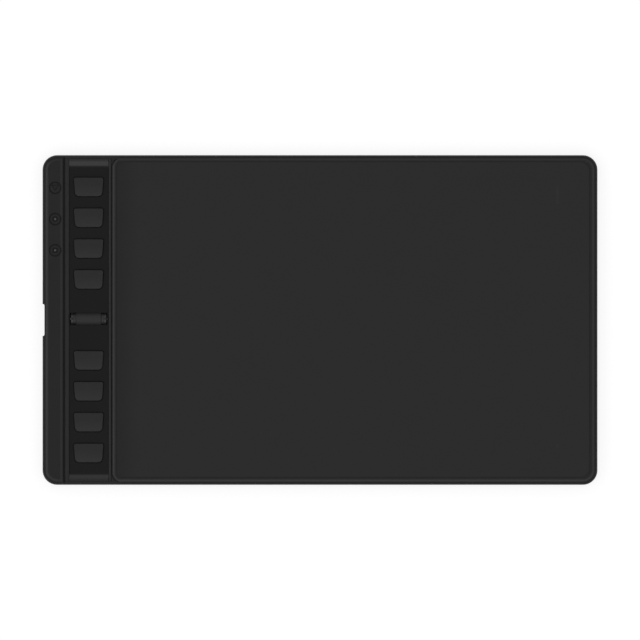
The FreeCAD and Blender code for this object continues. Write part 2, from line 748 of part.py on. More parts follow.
def make_bottom_cover():
    """The lower shell: floor, locating lip, ribs under the sensor, standoffs and screw posts."""
    body = new_body("bottom_cover")
    pad(body, "foot_height", "parting_height", inset("0"))
    blend(body, "base_round", lambda edge: level_edge(edge, value("foot_height")))
    bevel(body, "parting_bevel", lambda edge: level_edge(edge, value("parting_height")))
    pocket(body, FLOOR_TOP, "parting_height", inset("wall + lip_gap + lip_thickness"))
    pad(body, "parting_height", "(parting_height + lip_height)",
        inset("wall + lip_gap"), inset("wall + lip_gap + lip_thickness"))
    pocket(body, "parting_height", "(parting_height + lip_height)",
           rectangle(INNER_LEFT, BOARD_LEFT, f"(-port_width / 2 - {BEYOND})", f"(port_width / 2 + {BEYOND})"))
    pocket(body, "foot_height", "parting_height", notch())
    first, last = f"({SENSOR_LEFT} + rib_margin)", f"({SENSOR_RIGHT} - rib_margin)"
    rib = pad(body, FLOOR_TOP, SHIELD_UNDER,
              rectangle(f"{first} - rib_thickness / 2", f"{first} + rib_thickness / 2", f"-{SENSOR_END}", SENSOR_END))
    repeated(body, rib, "X", RIBS, f"{last} - {first}")
    cross = f"({SENSOR_END} - cross_rib_margin)"
    cross_rib = pad(body, FLOOR_TOP, SHIELD_UNDER,
                    rectangle(first, last, f"-{cross} - rib_thickness / 2", f"-{cross} + rib_thickness / 2"))
    repeated(body, cross_rib, "Y", CROSS_RIBS, f"2 * {cross}")
    pad(body, FLOOR_TOP, POST_TOP, *[centred(x, y, "post_width", "post_width") for x, y in SCREW_PLACES])
    pocket(body, "foot_height", SCREW_SEAT,
           *[(x, y, "(screw_head_radius + screw_head_gap)") for x, y in SCREW_PLACES])
    pocket(body, "foot_height", POST_TOP, *[(x, y, "(screw_radius + 2 * screw_fit)") for x, y in SCREW_PLACES])
    pad(body, FLOOR_TOP, BOARD_UNDER, *[(x, y, "standoff_radius") for x, y in BOARD_SCREW_PLACES])
    pad(body, FLOOR_TOP, BOARD_UNDER,
        *[centred(x, y, "2 * standoff_radius", "2 * standoff_radius") for x, y in BOARD_PAD_PLACES])
    pocket(body, f"({BOARD_UNDER} - pilot_depth)", BOARD_UNDER,
           *[(x, y, "(board_screw_radius + screw_fit)") for x, y in BOARD_SCREW_PLACES])
    pocket(body, f"({FLOOR_TOP} - roller_dish)", FLOOR_TOP,
           centred(KEY_LINE, "roller_y", "roller_length + 2 * dish_gap", "2 * (roller_radius + dish_gap)"))
    pocket(body, "foot_height", "(foot_height + foot_seat)",
           *[centred(x, y, "foot_length + 2 * foot_gap", "foot_width + 2 * foot_gap", "(foot_width / 2)")
             for x in FOOT_COLUMNS.values() for y in FOOT_ROWS.values()])


def make_feet():
    """Four rubber feet, seated in shallow recesses of the bottom cover."""
    for side, x in FOOT_COLUMNS.items():
        for end, y in FOOT_ROWS.items():
            body = new_body(f"foot_{end}_{side}")
            pad(body, "0", "(foot_height + foot_seat)",
                centred("0", "0", "foot_length", "foot_width", "(foot_width / 2 - foot_gap)"))
            placed(body, x, y)


def make_drawing_sheet():
    """The thin sheet that the pen runs on."""
    body = new_body("drawing_sheet")
    pad(body, "(case_height - sheet_thickness)", "case_height", sheet_bed("sheet_gap"))


def make_key_tray():
    """The channel that holds the keys and the roller, with a flange under the roof."""
    body = new_body("key_tray")
    pad(body, f"-{TRAY_END}", TRAY_END, [
        (TRAY_LEFT, TRAY_UNDER),
        (TRAY_RIGHT, TRAY_UNDER),
        (TRAY_RIGHT, VALLEY_TOP),
        (f"{TRAY_RIGHT} - right_rim_top", VALLEY_TOP),
        (CHANNEL_RIGHT, TRAY_TOP),
        (CHANNEL_LEFT, TRAY_TOP),
        (f"{TRAY_LEFT} + left_rim_top", VALLEY_TOP),
        (TRAY_LEFT, VALLEY_TOP),
    ], plane="XZ")
    valley_top = value(VALLEY_TOP)
    blend(body, "rim_round", lambda edge: level_edge(edge, valley_top) and edge.BoundBox.YLength > 1)
    for ramp, sign, turn in (("far_ramp", "", 1), ("near_ramp", "-", -1)):
        bend = f"(({ramp} ^ 2 + tray_drop ^ 2) / (4 * tray_drop))"
        pad(body, CHANNEL_LEFT, CHANNEL_RIGHT, [
            (f"{sign}({TRAY_END} - {ramp})", TRAY_TOP),
            (f"{sign}{TRAY_END}", TRAY_TOP),
            (f"{sign}{TRAY_END}", VALLEY_TOP, bend, turn),
            (f"{sign}({TRAY_END} - {ramp} / 2)", f"({TRAY_TOP} + tray_drop / 2)", bend, -turn),
        ], plane="YZ")
    flange_top = ROOF_UNDER
    flange_under = f"({ROOF_UNDER} - tray_flange_thickness)"
    pad(body, flange_under, flange_top,
        rectangle(f"{VALLEY_LEFT} - tray_flange", f"({TRAY_LEFT} + rim_round)", f"-{FLANGE_END}", FLANGE_END),
        rectangle(f"({TRAY_RIGHT} - rim_round)", f"{VALLEY_RIGHT} + tray_flange", f"-{FLANGE_END}", FLANGE_END))
    hole = "(stake_width + 2 * stake_gap)"
    pocket(body, flange_under, flange_top, *[centred(x, y, hole, hole) for x, y in STAKE_PLACES])
    pocket(body, TRAY_UNDER, TRAY_TOP, *[moved(key_outline("key_gap"), KEY_LINE, y) for y in KEY_ROWS])
    doc.recompute()

    def hole_corner(edge, far):
        """An upright edge at a far or near corner of a key hole."""
        if not upright_edge(edge):
            return False
        x, y = edge.BoundBox.XMin, edge.BoundBox.YMin
        if abs(x - value(KEY_LINE)) > value("key_far_width / 2 + 2 * key_gap"):
            return False
        edges = [value(f"{row} + {'' if far else '-'}(key_depth / 2 + key_gap)") for row in KEY_ROWS]
        return any(abs(y - place) < NEAR for place in edges)
    blend(body, "(key_near_corner + key_gap)", lambda edge: hole_corner(edge, False))
    blend(body, "(key_far_corner + key_gap)", lambda edge: hole_corner(edge, True))
    pocket(body, TRAY_UNDER, TRAY_TOP,
           centred(KEY_LINE, "roller_y", f"2 * {ROLLER_TOP_SLOT}", "2 * (roller_radius + slot_gap)"))
    pocket(body, TRAY_UNDER, "(roller_axis_height + axle_radius + axle_gap)",
           rectangle(f"{LEFT_ARM} - {BEYOND}", f"({TRAY_RIGHT} + {BEYOND})",
                     "roller_y - axle_radius - axle_gap", "roller_y + axle_radius + axle_gap"))


def make_key(number, row):
    """One push key: a tapering cap with a crowned top that falls towards the user, hollow below."""
    body = new_body(f"key_cap_{number}")
    far_top = f"({TRAY_TOP} + key_far_rise)"
    near_top = f"({TRAY_TOP} + key_near_rise)"
    pad(body, KEY_FLANGE_UNDER, far_top, key_outline("0"))
    half = value("key_depth / 2")
    blend(body, "key_near_corner", lambda edge: upright_edge(edge) and abs(edge.BoundBox.YMin + half) < NEAR)
    blend(body, "key_far_corner", lambda edge: upright_edge(edge) and abs(edge.BoundBox.YMin - half) < NEAR)
    over = f"({far_top} + {BEYOND})"
    pocket(body, "-key_far_width", "key_far_width", [
        (f"-key_depth / 2 - {BEYOND}", over),
        (f"-key_depth / 2 - {BEYOND}", near_top),
        ("-key_depth / 2", near_top, "key_crown", -1),
        ("key_depth / 2", far_top),
        (f"key_depth / 2 + {BEYOND}", far_top),
        (f"key_depth / 2 + {BEYOND}", over),
    ], plane="YZ")
    lowest = value(near_top) - NEAR
    bevel(body, "key_edge_bevel", lambda edge: edge.BoundBox.ZMin > lowest)
    pad(body, KEY_FLANGE_UNDER, KEY_FLANGE_TOP,
        centred("0", "0", "key_far_width + 2 * (key_gap + key_flange)", "key_depth + 2 * (key_gap + key_flange)"))
    pocket(body, KEY_FLANGE_UNDER, f"({near_top} - key_skin)", key_outline("-key_skin"))
    pad(body, STEM_TOP, f"({near_top} - key_skin)", ("0", "0", "key_post_radius"))
    placed(body, KEY_LINE, row)


def square_bar(row, low, high, half):
    """An upright square bar on the line of the keys."""
    return block(f"{KEY_LINE} - {half}", f"{KEY_LINE} + {half}", f"{row} - {half}", f"{row} + {half}", low, high)


def make_key_switches():
    """A flat switch body under each key, and the stem that the key's post stands on."""
    bodies = []
    half = "switch_width / 2"
    stem_foot = f"({BOARD_TOP} + key_travel + stem_fit)"
    for number, row in enumerate(KEY_ROWS, 1):
        shell = block(f"{KEY_LINE} - {half}", f"{KEY_LINE} + {half}", f"{row} - {half}", f"{row} + {half}",
                      BOARD_TOP, SWITCH_TOP)
        well = square_bar(row, BOARD_TOP, SWITCH_TOP, "(stem_width / 2 + stem_fit)")
        bodies.append(less(shell, well))
        kept(square_bar(row, stem_foot, STEM_TOP, "(stem_width / 2)"), f"switch_stem_{number}")
    kept(group(*bodies), "key_switch_bodies")


def make_roller():
    """The scroll roller: a core with shiny rims, its sleeve, its axle, the cradle and the encoder."""
    core = new_body("roller_core")
    half = "(roller_length / 2)"
    sleeve_half = "(tyre_length / 2)"
    rim_inner = f"({half} - rim_width)"
    spin(core, [
        (f"-{half}", "axle_radius"),
        (half, "axle_radius"),
        (half, "roller_radius - roller_bevel"),
        (f"{half} - roller_bevel", "roller_radius"),
        (rim_inner, "roller_radius"),
        (rim_inner, "neck_radius"),
        (sleeve_half, "neck_radius"),
        (sleeve_half, "tyre_bore"),
        (f"-{sleeve_half}", "tyre_bore"),
        (f"-{sleeve_half}", "neck_radius"),
        (f"-{rim_inner}", "neck_radius"),
        (f"-{rim_inner}", "roller_radius"),
        (f"-{half} + roller_bevel", "roller_radius"),
        (f"-{half}", "roller_radius - roller_bevel"),
    ])
    placed(core, KEY_LINE, "roller_y", "roller_axis_height")
    tyre = new_body("roller_tyre")
    spin(tyre, [
        (f"-{sleeve_half}", "tyre_bore"),
        (sleeve_half, "tyre_bore"),
        (sleeve_half, "roller_radius - roller_bevel"),
        (f"{sleeve_half} - roller_bevel", "roller_radius"),
        (f"-{sleeve_half} + roller_bevel", "roller_radius"),
        (f"-{sleeve_half}", "roller_radius - roller_bevel"),
    ])
    placed(tyre, KEY_LINE, "roller_y", "roller_axis_height")
    kept(bar(LEFT_ARM, ROTOR_RIGHT, "roller_y", "roller_axis_height", "axle_radius"), "roller_axle")
    arm_top = "(roller_axis_height + arm_above_axis)"
    outer = "(roller_radius + arm_gap + cradle_bar)"
    inner = "(roller_radius + arm_gap)"
    bar_top = f"({BOARD_TOP} + cradle_bar_height)"
    arms = [
        block(LEFT_ARM, f"{LEFT_ARM} + arm_thickness", f"roller_y - {outer}", f"roller_y + {outer}",
              BOARD_TOP, bar_top),
        block(f"{RIGHT_ARM} - arm_thickness", RIGHT_ARM, f"roller_y - {outer}", f"roller_y + {outer}",
              BOARD_TOP, bar_top),
        block(LEFT_ARM, f"{LEFT_ARM} + arm_thickness", "roller_y - 2 * axle_radius",
              "roller_y + 2 * axle_radius", BOARD_TOP, arm_top),
        block(f"{RIGHT_ARM} - arm_thickness", RIGHT_ARM, "roller_y - 2 * axle_radius",
              "roller_y + 2 * axle_radius", BOARD_TOP, arm_top),
        block(LEFT_ARM, RIGHT_ARM, f"roller_y - {outer}", f"roller_y - {inner}", BOARD_TOP, bar_top),
        block(LEFT_ARM, RIGHT_ARM, f"roller_y + {inner}", f"roller_y + {outer}", BOARD_TOP, bar_top),
    ]
    seat = "(axle_radius + axle_fit)"
    trough = bar(f"{LEFT_ARM} - {BEYOND}", f"{RIGHT_ARM} + {BEYOND}", "roller_y", "roller_axis_height", seat)
    mouth = block(f"{LEFT_ARM} - {BEYOND}", f"{RIGHT_ARM} + {BEYOND}", f"roller_y - {seat}", f"roller_y + {seat}",
                  "roller_axis_height", f"{arm_top} + {BEYOND}")
    kept(less(fused(*arms), trough, mouth), "roller_cradle")
    rotor = less(bar(ENCODER_LEFT, ROTOR_RIGHT, "roller_y", "roller_axis_height", "rotor_radius"),
                 bar(ENCODER_LEFT, ROTOR_RIGHT, "roller_y", "roller_axis_height", "axle_radius"))
    kept(rotor, "encoder_rotor")
    shell = block(ENCODER_LEFT, f"{ENCODER_LEFT} + encoder_length", "roller_y - encoder_width / 2",
                  "roller_y + encoder_width / 2", BOARD_TOP, f"{BOARD_TOP} + encoder_height")
    bore = bar(ENCODER_LEFT, f"{ROTOR_RIGHT} + axle_fit", "roller_y", "roller_axis_height",
               "rotor_radius + axle_fit")
    kept(less(shell, bore), "encoder_housing")


def make_port():
    """The cable socket: a drawn metal shell with a closed back, and its tongue."""
    shell = new_body("usb_shell")
    back = f"({PORT_MOUTH} + port_length)"
    pad(shell, PORT_MOUTH, back, stadium("0", PORT_AXIS, "port_width", "port_height"), plane="YZ")
    pocket(shell, f"({PORT_MOUTH} - {BEYOND})", f"({back} - port_skin)",
           stadium("0", PORT_AXIS, "port_width - 2 * port_skin", "port_height - 2 * port_skin"), plane="YZ")
    tongue = block(f"{PORT_MOUTH} + tongue_setback", f"{back} - port_skin", "-tongue_width / 2",
                   "tongue_width / 2", f"{PORT_AXIS} - tongue_thickness / 2",
                   f"{PORT_AXIS} + tongue_thickness / 2")
    kept(tongue, "usb_tongue")


def make_mode_button():
    """The small side button that steps through the key groups, and its switch."""
    body = new_body("mode_button")
    flange_left = f"({INNER_LEFT} + mode_flange_gap)"
    flange_right = f"({flange_left} + mode_flange_thickness)"
    pad(body, f"(-{EDGE_X} + mode_setback)", flange_left,
        stadium("mode_y", MODE_AXIS, "mode_length", "mode_height"), plane="YZ")
    pad(body, flange_left, flange_right,
        stadium("mode_y", MODE_AXIS, "mode_length + 2 * (mode_gap + mode_flange)",
                "mode_height + 2 * mode_flange"), plane="YZ")
    shell = block(BOARD_LEFT, f"{BOARD_LEFT} + mode_switch_length", "mode_y - mode_switch_width / 2",
                  "mode_y + mode_switch_width / 2", BOARD_TOP, f"{BOARD_TOP} + mode_switch_height")
    stem_end = f"({BOARD_LEFT} + mode_stem_grip)"
    well = bar(BOARD_LEFT, f"{stem_end} + mode_travel + mode_gap", "mode_y", MODE_AXIS,
               "mode_stem_radius + stem_fit")
    kept(less(shell, well), "mode_switch_body")
    kept(bar(flange_right, stem_end, "mode_y", MODE_AXIS, "mode_stem_radius"), "mode_switch_stem")


def make_indicators():
    """A light guide in each symbol, over a small lamp on the board."""
    lamps = []
    guide_foot = f"({BOARD_TOP} + led_height + led_gap)"
    for number, y in enumerate(LAMP_ROWS, 1):
        guide = fused(rod(LAMP_X, y, ROOF_UNDER, "case_height - lens_gap", "lens_radius"),
                      rod(LAMP_X, y, guide_foot, ROOF_UNDER, "lens_flange_radius"))
        kept(guide, f"indicator_lens_{number}")
        lamps.append(block(f"{LAMP_X} - led_length / 2", f"{LAMP_X} + led_length / 2",
                           f"{y} - led_width / 2", f"{y} + led_width / 2", BOARD_TOP,
                           f"{BOARD_TOP} + led_height"))
    kept(group(*lamps), "indicator_leds")


def make_boards():
    """The main board under the keys, and the sensing board with its foam and shield."""
    main = new_body("main_board")
    pad(main, BOARD_UNDER, BOARD_TOP,
        rectangle(BOARD_LEFT, BOARD_RIGHT, f"-{BOARD_END}", BOARD_END, "board_corner"))
    pocket(main, BOARD_UNDER, BOARD_TOP,
           centred(KEY_LINE, "roller_y", f"2 * {ROLLER_TOP_SLOT}", "2 * (roller_radius + arm_gap)"))
    pocket(main, BOARD_UNDER, BOARD_TOP,
           *[(x, y, "(board_screw_radius + screw_fit)") for x, y in BOARD_SCREW_PLACES])
    sensor = new_body("sensor_board")
    plan = rectangle(SENSOR_LEFT, SENSOR_RIGHT, f"-{SENSOR_END}", SENSOR_END, "sensor_corner")
    pad(sensor, SENSOR_UNDER, ROOF_UNDER, plan)
    pad(sensor, SENSOR_UNDER, ROOF_UNDER,
        rectangle(f"({SENSOR_LEFT} - sensor_tab)", f"({SENSOR_LEFT} + {BEYOND})",
                  f"{RIBBON_Y} - sensor_tab_width / 2", f"{RIBBON_Y} + sensor_tab_width / 2"))
    for label, low, high in (("shield_foam", SHIELD_TOP, SENSOR_UNDER),
                             ("shield_plate", SHIELD_UNDER, SHIELD_TOP)):
        layer = new_body(label)
        pad(layer, low, high, plan)


def make_electronics():
    """Chips, the two ribbon connectors and the flat ribbon between them."""
    chips = []
    column = f"({BOARD_LEFT} + chip_inset)"
    for chip in ("controller", "driver", "regulator"):
        half = f"({chip}_side / 2)"
        chips.append(block(f"{column} - {half}", f"{column} + {half}", f"{chip}_y - {half}", f"{chip}_y + {half}",
                           BOARD_TOP, f"{BOARD_TOP} + {chip}_rise"))
    kept(group(*chips), "controller_chips")
    near = f"({RIBBON_Y} - ribbon_width / 2 - connector_side)"
    far = f"({RIBBON_Y} + ribbon_width / 2 + connector_side)"
    lower_right = f"({BOARD_RIGHT} - connector_inset)"
    lower = block(f"{lower_right} - connector_length", lower_right, near, far, BOARD_TOP,
                  f"{BOARD_TOP} + connector_height")
    upper_left = f"({SENSOR_LEFT} - sensor_tab + connector_inset)"
    upper = block(upper_left, f"{upper_left} + connector_length", near, far,
                  f"{SENSOR_UNDER} - connector_height", SENSOR_UNDER)
    kept(group(lower, upper), "ribbon_connectors")
    ribbon = new_body("ribbon_cable")
    low = f"({BOARD_TOP} + connector_height / 2)"
    high = f"({SENSOR_UNDER} - connector_height / 2)"
    pad(ribbon, f"(-{RIBBON_Y} - ribbon_width / 2)", f"(-{RIBBON_Y} + ribbon_width / 2)", [
        (lower_right, low),
        (f"{lower_right} + ribbon_lead", low),
        (f"{upper_left} - ribbon_lead + ribbon_thickness", f"{high} - ribbon_thickness"),
        (upper_left, f"{high} - ribbon_thickness"),
        (upper_left, high),
        (f"{upper_left} - ribbon_lead", high),
        (f"{lower_right} + ribbon_lead - ribbon_thickness", f"{low} + ribbon_thickness"),
        (lower_right, f"{low} + ribbon_thickness"),
    ], plane="XZ")


def make_screws():
    """Case screws from below, and board screws from above."""
    screws = []
    for x, y in SCREW_PLACES:
        screws.append(fused(rod(x, y, "foot_height + screw_head_recess", SCREW_SEAT, "screw_head_radius"),
                            rod(x, y, SCREW_SEAT, f"{SCREW_SEAT} + screw_length", "screw_radius")))
    kept(group(*screws), "case_screws")
    screws = []
    for x, y in BOARD_SCREW_PLACES:
        tip = f"({BOARD_UNDER} - pilot_depth + pilot_spare)"
        screws.append(fused(rod(x, y, BOARD_TOP, f"{BOARD_TOP} + board_screw_head", "board_screw_head_radius"),
                            rod(x, y, tip, BOARD_TOP, "board_screw_radius")))
    kept(group(*screws), "board_screws")


make_top_housing()
make_bottom_cover()
make_feet()
make_drawing_sheet()
make_key_tray()
for key_number, key_row in enumerate(KEY_ROWS, 1):
    make_key(key_number, key_row)
make_key_switches()
make_roller()
make_port()
make_mode_button()
make_indicators()
make_boards()
make_electronics()
make_screws()
doc.recompute()

for item in doc.Objects:
    if "Invalid" in item.State or "Error" in item.State:
        raise ValueError(f"{item.Label} ({item.Name}) failed: {item.State}")
for item in parts:
    if item.Shape.isNull() or not item.Shape.isValid() or not item.Shape.Solids:
        raise ValueError(f"{item.Label} has no valid solid")

os.makedirs("parts", exist_ok=True)
for item in parts:
    item.Shape.exportStep(os.path.join("parts", item.Label + ".step"))
print(len(parts), "sub-parts written")
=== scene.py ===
import json
import math

import bmesh
import bpy
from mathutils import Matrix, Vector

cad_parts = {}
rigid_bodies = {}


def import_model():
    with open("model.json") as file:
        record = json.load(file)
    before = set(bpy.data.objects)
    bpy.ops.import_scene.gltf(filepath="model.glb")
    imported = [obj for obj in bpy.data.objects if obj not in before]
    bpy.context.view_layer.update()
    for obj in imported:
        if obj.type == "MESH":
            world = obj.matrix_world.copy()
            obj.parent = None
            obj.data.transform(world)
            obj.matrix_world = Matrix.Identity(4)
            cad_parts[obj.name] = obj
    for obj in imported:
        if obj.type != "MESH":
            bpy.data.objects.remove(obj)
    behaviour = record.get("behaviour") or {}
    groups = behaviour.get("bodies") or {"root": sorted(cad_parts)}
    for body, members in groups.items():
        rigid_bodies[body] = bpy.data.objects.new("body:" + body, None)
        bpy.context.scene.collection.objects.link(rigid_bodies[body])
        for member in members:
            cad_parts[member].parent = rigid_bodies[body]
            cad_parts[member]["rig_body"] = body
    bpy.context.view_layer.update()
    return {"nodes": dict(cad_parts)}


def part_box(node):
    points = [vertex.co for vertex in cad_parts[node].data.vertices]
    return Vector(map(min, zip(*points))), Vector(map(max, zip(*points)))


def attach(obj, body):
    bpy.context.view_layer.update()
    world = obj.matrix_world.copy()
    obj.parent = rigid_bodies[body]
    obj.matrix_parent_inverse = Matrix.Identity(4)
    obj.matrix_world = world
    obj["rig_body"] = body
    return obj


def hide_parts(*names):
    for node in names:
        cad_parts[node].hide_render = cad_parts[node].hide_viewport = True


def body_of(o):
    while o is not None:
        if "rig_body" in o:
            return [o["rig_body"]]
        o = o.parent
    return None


# The looks of a flat pen tablet with eight keys and a scroll roller, built round its CAD sub-parts
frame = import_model()

# Sizes in metres, colours as linear red, green and blue
MILLIMETRE = 0.001

# Camera, straight above the tablet: the photograph's width and scale, and the height of the outline
PHOTO_PIXELS = 640
METRES_PER_PIXEL = 0.5497 * MILLIMETRE
SILHOUETTE_HEIGHT = 5.4 * MILLIMETRE
CAMERA_LENS = 600.0
CAMERA_SENSOR = 36.0
CAMERA_REACH = 10.0

# Studio light, as radiance by the angle from straight up, in degrees; how far it leans along X and Y,
# in degrees; how its strength changes towards +Y; and how soft the horizon is
LIGHT_STEPS = [(0, 0.20), (12, 0.30), (34, 1.20), (48, 1.42), (62, 0.75), (76, 0.12), (90, 0.04)]
LIGHT_LEAN = (0.0, 2.0)
LIGHT_FAR = -0.25
LIGHT_HORIZON = 0.02

# A brighter panel along the left: where it starts and is full along -X, where it fades, extra radiance
LEFT_PANEL = (0.35, 0.75)
LEFT_FADE = (52.0, 70.0)
LEFT_EXTRA = 0.55

# The floor: its side, its grey, the light that the camera sees from it, and the share in reflections
FLOOR_SIZE = 6.0
FLOOR_SHADE = 0.22
FLOOR_GLOW = 0.81
FLOOR_MIRRORED = 0.35

# Moulded surfaces: their faint clouds, and how far clouds and grain change the roughness
CLOUD_SIZE = 9 * MILLIMETRE
CLOUD_SHARE = 0.07
CLOUD_ROUGHNESS = 0.05
GRAIN_ROUGHNESS = 0.10
GRAIN_STRENGTH = 0.35

# The housing's skin, and the painted shade in the symbols sunk in its left rail: its share of the
# skin's grey, how deep below the top it starts and ends, and how far it reaches from the middle of the row
CASE_LEVEL = 0.0100
CASE_ROUGHNESS = 0.36
CASE_GRAIN = 0.30 * MILLIMETRE
SUNK_SHADE_SHARE = 0.15
SUNK_SHADE_DEPTH = (0.10 * MILLIMETRE, 0.20 * MILLIMETRE)
SUNK_SHADE_END = (0.50 * MILLIMETRE, 0.60 * MILLIMETRE)
SUNK_SHADE_REACH = (3.6 * MILLIMETRE, 3.8 * MILLIMETRE)

# The key tray: its channel's grey and roughness, and how deep below its top the rims end
CHANNEL_LEVEL = 0.0054
CHANNEL_ROUGHNESS = 0.21
RIM_DEPTH = (0.05 * MILLIMETRE, 0.20 * MILLIMETRE)

# The roller's core: the greys and roughness of its necks and its rims, whose lighter grey is a painted
# highlight
NECK_LEVEL = 0.0085
NECK_ROUGHNESS = 0.50
RIM_HIGHLIGHT_LEVEL = 0.0110
RIM_ROUGHNESS = 0.24

# The drawing film: its greys in the painted shade beside the keys, in the open, in light clouds and
# in the printed marks, where the painted shade fades out beside the keys, and its roughness
FILM_SHADED_LEVEL = 0.0050
FILM_LEVEL = 0.0102
FILM_CLOUD_LEVEL = 0.0124
FILM_MARK_LEVEL = 0.0160
FILM_SHADE_FADE = (-112 * MILLIMETRE, -98 * MILLIMETRE)
FILM_ROUGHNESS = 0.50

# The marks of the working area near the sheet's right corners: where they are along X, and for each
# its middle along Y, half its width and half its length
MARK_X = 130.4 * MILLIMETRE
FAR_MARK = (68.7 * MILLIMETRE, 0.55 * MILLIMETRE, 4.7 * MILLIMETRE)
NEAR_MARK = (-69.3 * MILLIMETRE, 0.55 * MILLIMETRE, 1.1 * MILLIMETRE)

# Modelling: how near doubles are, how near a corner is to count as at a place, how far a cutter stands
# clear so that no two faces coincide, and how far a face's normal points along the axis that it faces
DOUBLES = 0.002 * MILLIMETRE
NEAR = 0.04 * MILLIMETRE
CLEAR = 0.004 * MILLIMETRE
FACING = 0.9

# Angles in degrees: faces flatter than the first are made whole, edges sharper than the second are
# rounded, and edges sharper than the last two are shaded as edges, on sub-parts and on screws
FLAT_ANGLE = 0.5
ROUNDED_ANGLE = 30.0
SHARP_ANGLE = 35.0
SCREW_ANGLE = 40.0

# Keys and light guides, and how far the sharp edges are rounded, as a mould or a press leaves them
KEY_COUNT = 8
LENS_COUNT = 3
KEY_EDGE = 0.16 * MILLIMETRE
FOOT_EDGE = 0.25 * MILLIMETRE
LENS_EDGE = 0.12 * MILLIMETRE
BUTTON_EDGE = 0.14 * MILLIMETRE
CORE_EDGE = 0.12 * MILLIMETRE
TYRE_EDGE = 0.20 * MILLIMETRE
SHELL_EDGE = 0.08 * MILLIMETRE
TONGUE_EDGE = 0.12 * MILLIMETRE

# The seam between the tray and the plate: the foot and the top of the plate's shoulder in the
# sub-part, the tray's right rim there, and how far the seam lies further left
SHOULDER = (-114.1 * MILLIMETRE, -112.2 * MILLIMETRE)
RIGHT_RIM = (-116.0 * MILLIMETRE, -114.15 * MILLIMETRE)
SEAM_SHIFT = 0.50 * MILLIMETRE

# The drawing plate's left corners: their radius in plan, how far in from the edge, and the radius
# that the shoulder is rounded by there
PLATE_LEFT = SHOULDER[0] - SEAM_SHIFT
PLATE_CORNER = 6.0 * MILLIMETRE
PLATE_INSET = 0.9 * MILLIMETRE
PLATE_ROUND = 2.4 * MILLIMETRE

# The roller's slot: the gap round the roller, and the level of the tray's channel
SLOT_GAP = 0.15 * MILLIMETRE
CHANNEL_TOP = 6.9 * MILLIMETRE

# The roller's necks: their radius in the sub-part, and filled out; and where the polished rims begin
CORE_NECK = 2.7 * MILLIMETRE
FULL_NECK = 3.3 * MILLIMETRE
RIM_FROM = (3.40 * MILLIMETRE, 3.48 * MILLIMETRE)

# Screws, as the sub-parts' plain ones, with the pitch of their threads
CASE_SCREW = {"head_radius": 1.9 * MILLIMETRE, "head_height": 1.3 * MILLIMETRE,
              "radius": 1.0 * MILLIMETRE, "length": 4.0 * MILLIMETRE, "pitch": 0.5 * MILLIMETRE}
BOARD_SCREW = {"head_radius": 1.5 * MILLIMETRE, "head_height": 0.8 * MILLIMETRE,
               "radius": 0.8 * MILLIMETRE, "length": 1.9 * MILLIMETRE, "pitch": 0.4 * MILLIMETRE}
THREAD_STEPS = 20

# The contacts on each side of the socket's tongue, and how far from its tip they start
CONTACT_COUNT = 12
CONTACT_PITCH = 0.5 * MILLIMETRE
CONTACT_START = 0.7 * MILLIMETRE
CONTACT_SIZE = (3.4 * MILLIMETRE, 0.26 * MILLIMETRE, 0.06 * MILLIMETRE)
CONTACT_EDGE = 0.015 * MILLIMETRE

# The chips' legs: pitch, length, width and thickness of the foot, its gap to the chip, and two bends
LEG_PITCH = 0.65 * MILLIMETRE
LEG_SIZE = (0.45 * MILLIMETRE, 0.22 * MILLIMETRE, 0.12 * MILLIMETRE)
LEG_EDGE = 0.02 * MILLIMETRE
LEG_GAP = 0.2 * MILLIMETRE
LEG_BENDS = [(-0.12 * MILLIMETRE, 0, 0.22 * MILLIMETRE), (-0.12 * MILLIMETRE, 0, 0.02 * MILLIMETRE)]


class Value:
    """A number or vector that varies over a surface; arithmetic on it adds Math nodes."""

    def __init__(self, finish, socket):
        self.finish = finish
        self.socket = socket

    def __add__(self, other):
        return self.finish.calculate("ADD", self, other)

    __radd__ = __add__

    def __sub__(self, other):
        return self.finish.calculate("SUBTRACT", self, other)

    def __rsub__(self, other):
        return self.finish.calculate("SUBTRACT", other, self)

    def __mul__(self, other):
        return self.finish.calculate("MULTIPLY", self, other)

    __rmul__ = __mul__

    def distance(self, other):
        """How far it is from a number, either way."""
        return self.finish.calculate("ABSOLUTE", self - other)

    def waves(self, pitch):
        """A sine from -1 to 1 that repeats at a pitch."""
        return self.finish.calculate("SINE", self * (2 * math.pi / pitch))

    def varied(self, amount):
        """Noise from 0 to 1 as a change about zero."""
        return (self - 0.5) * amount

    def between(self, first, last):
        """The number that goes from a first to a last one as this one goes from 0 to 1."""
        return self * (last - first) + first


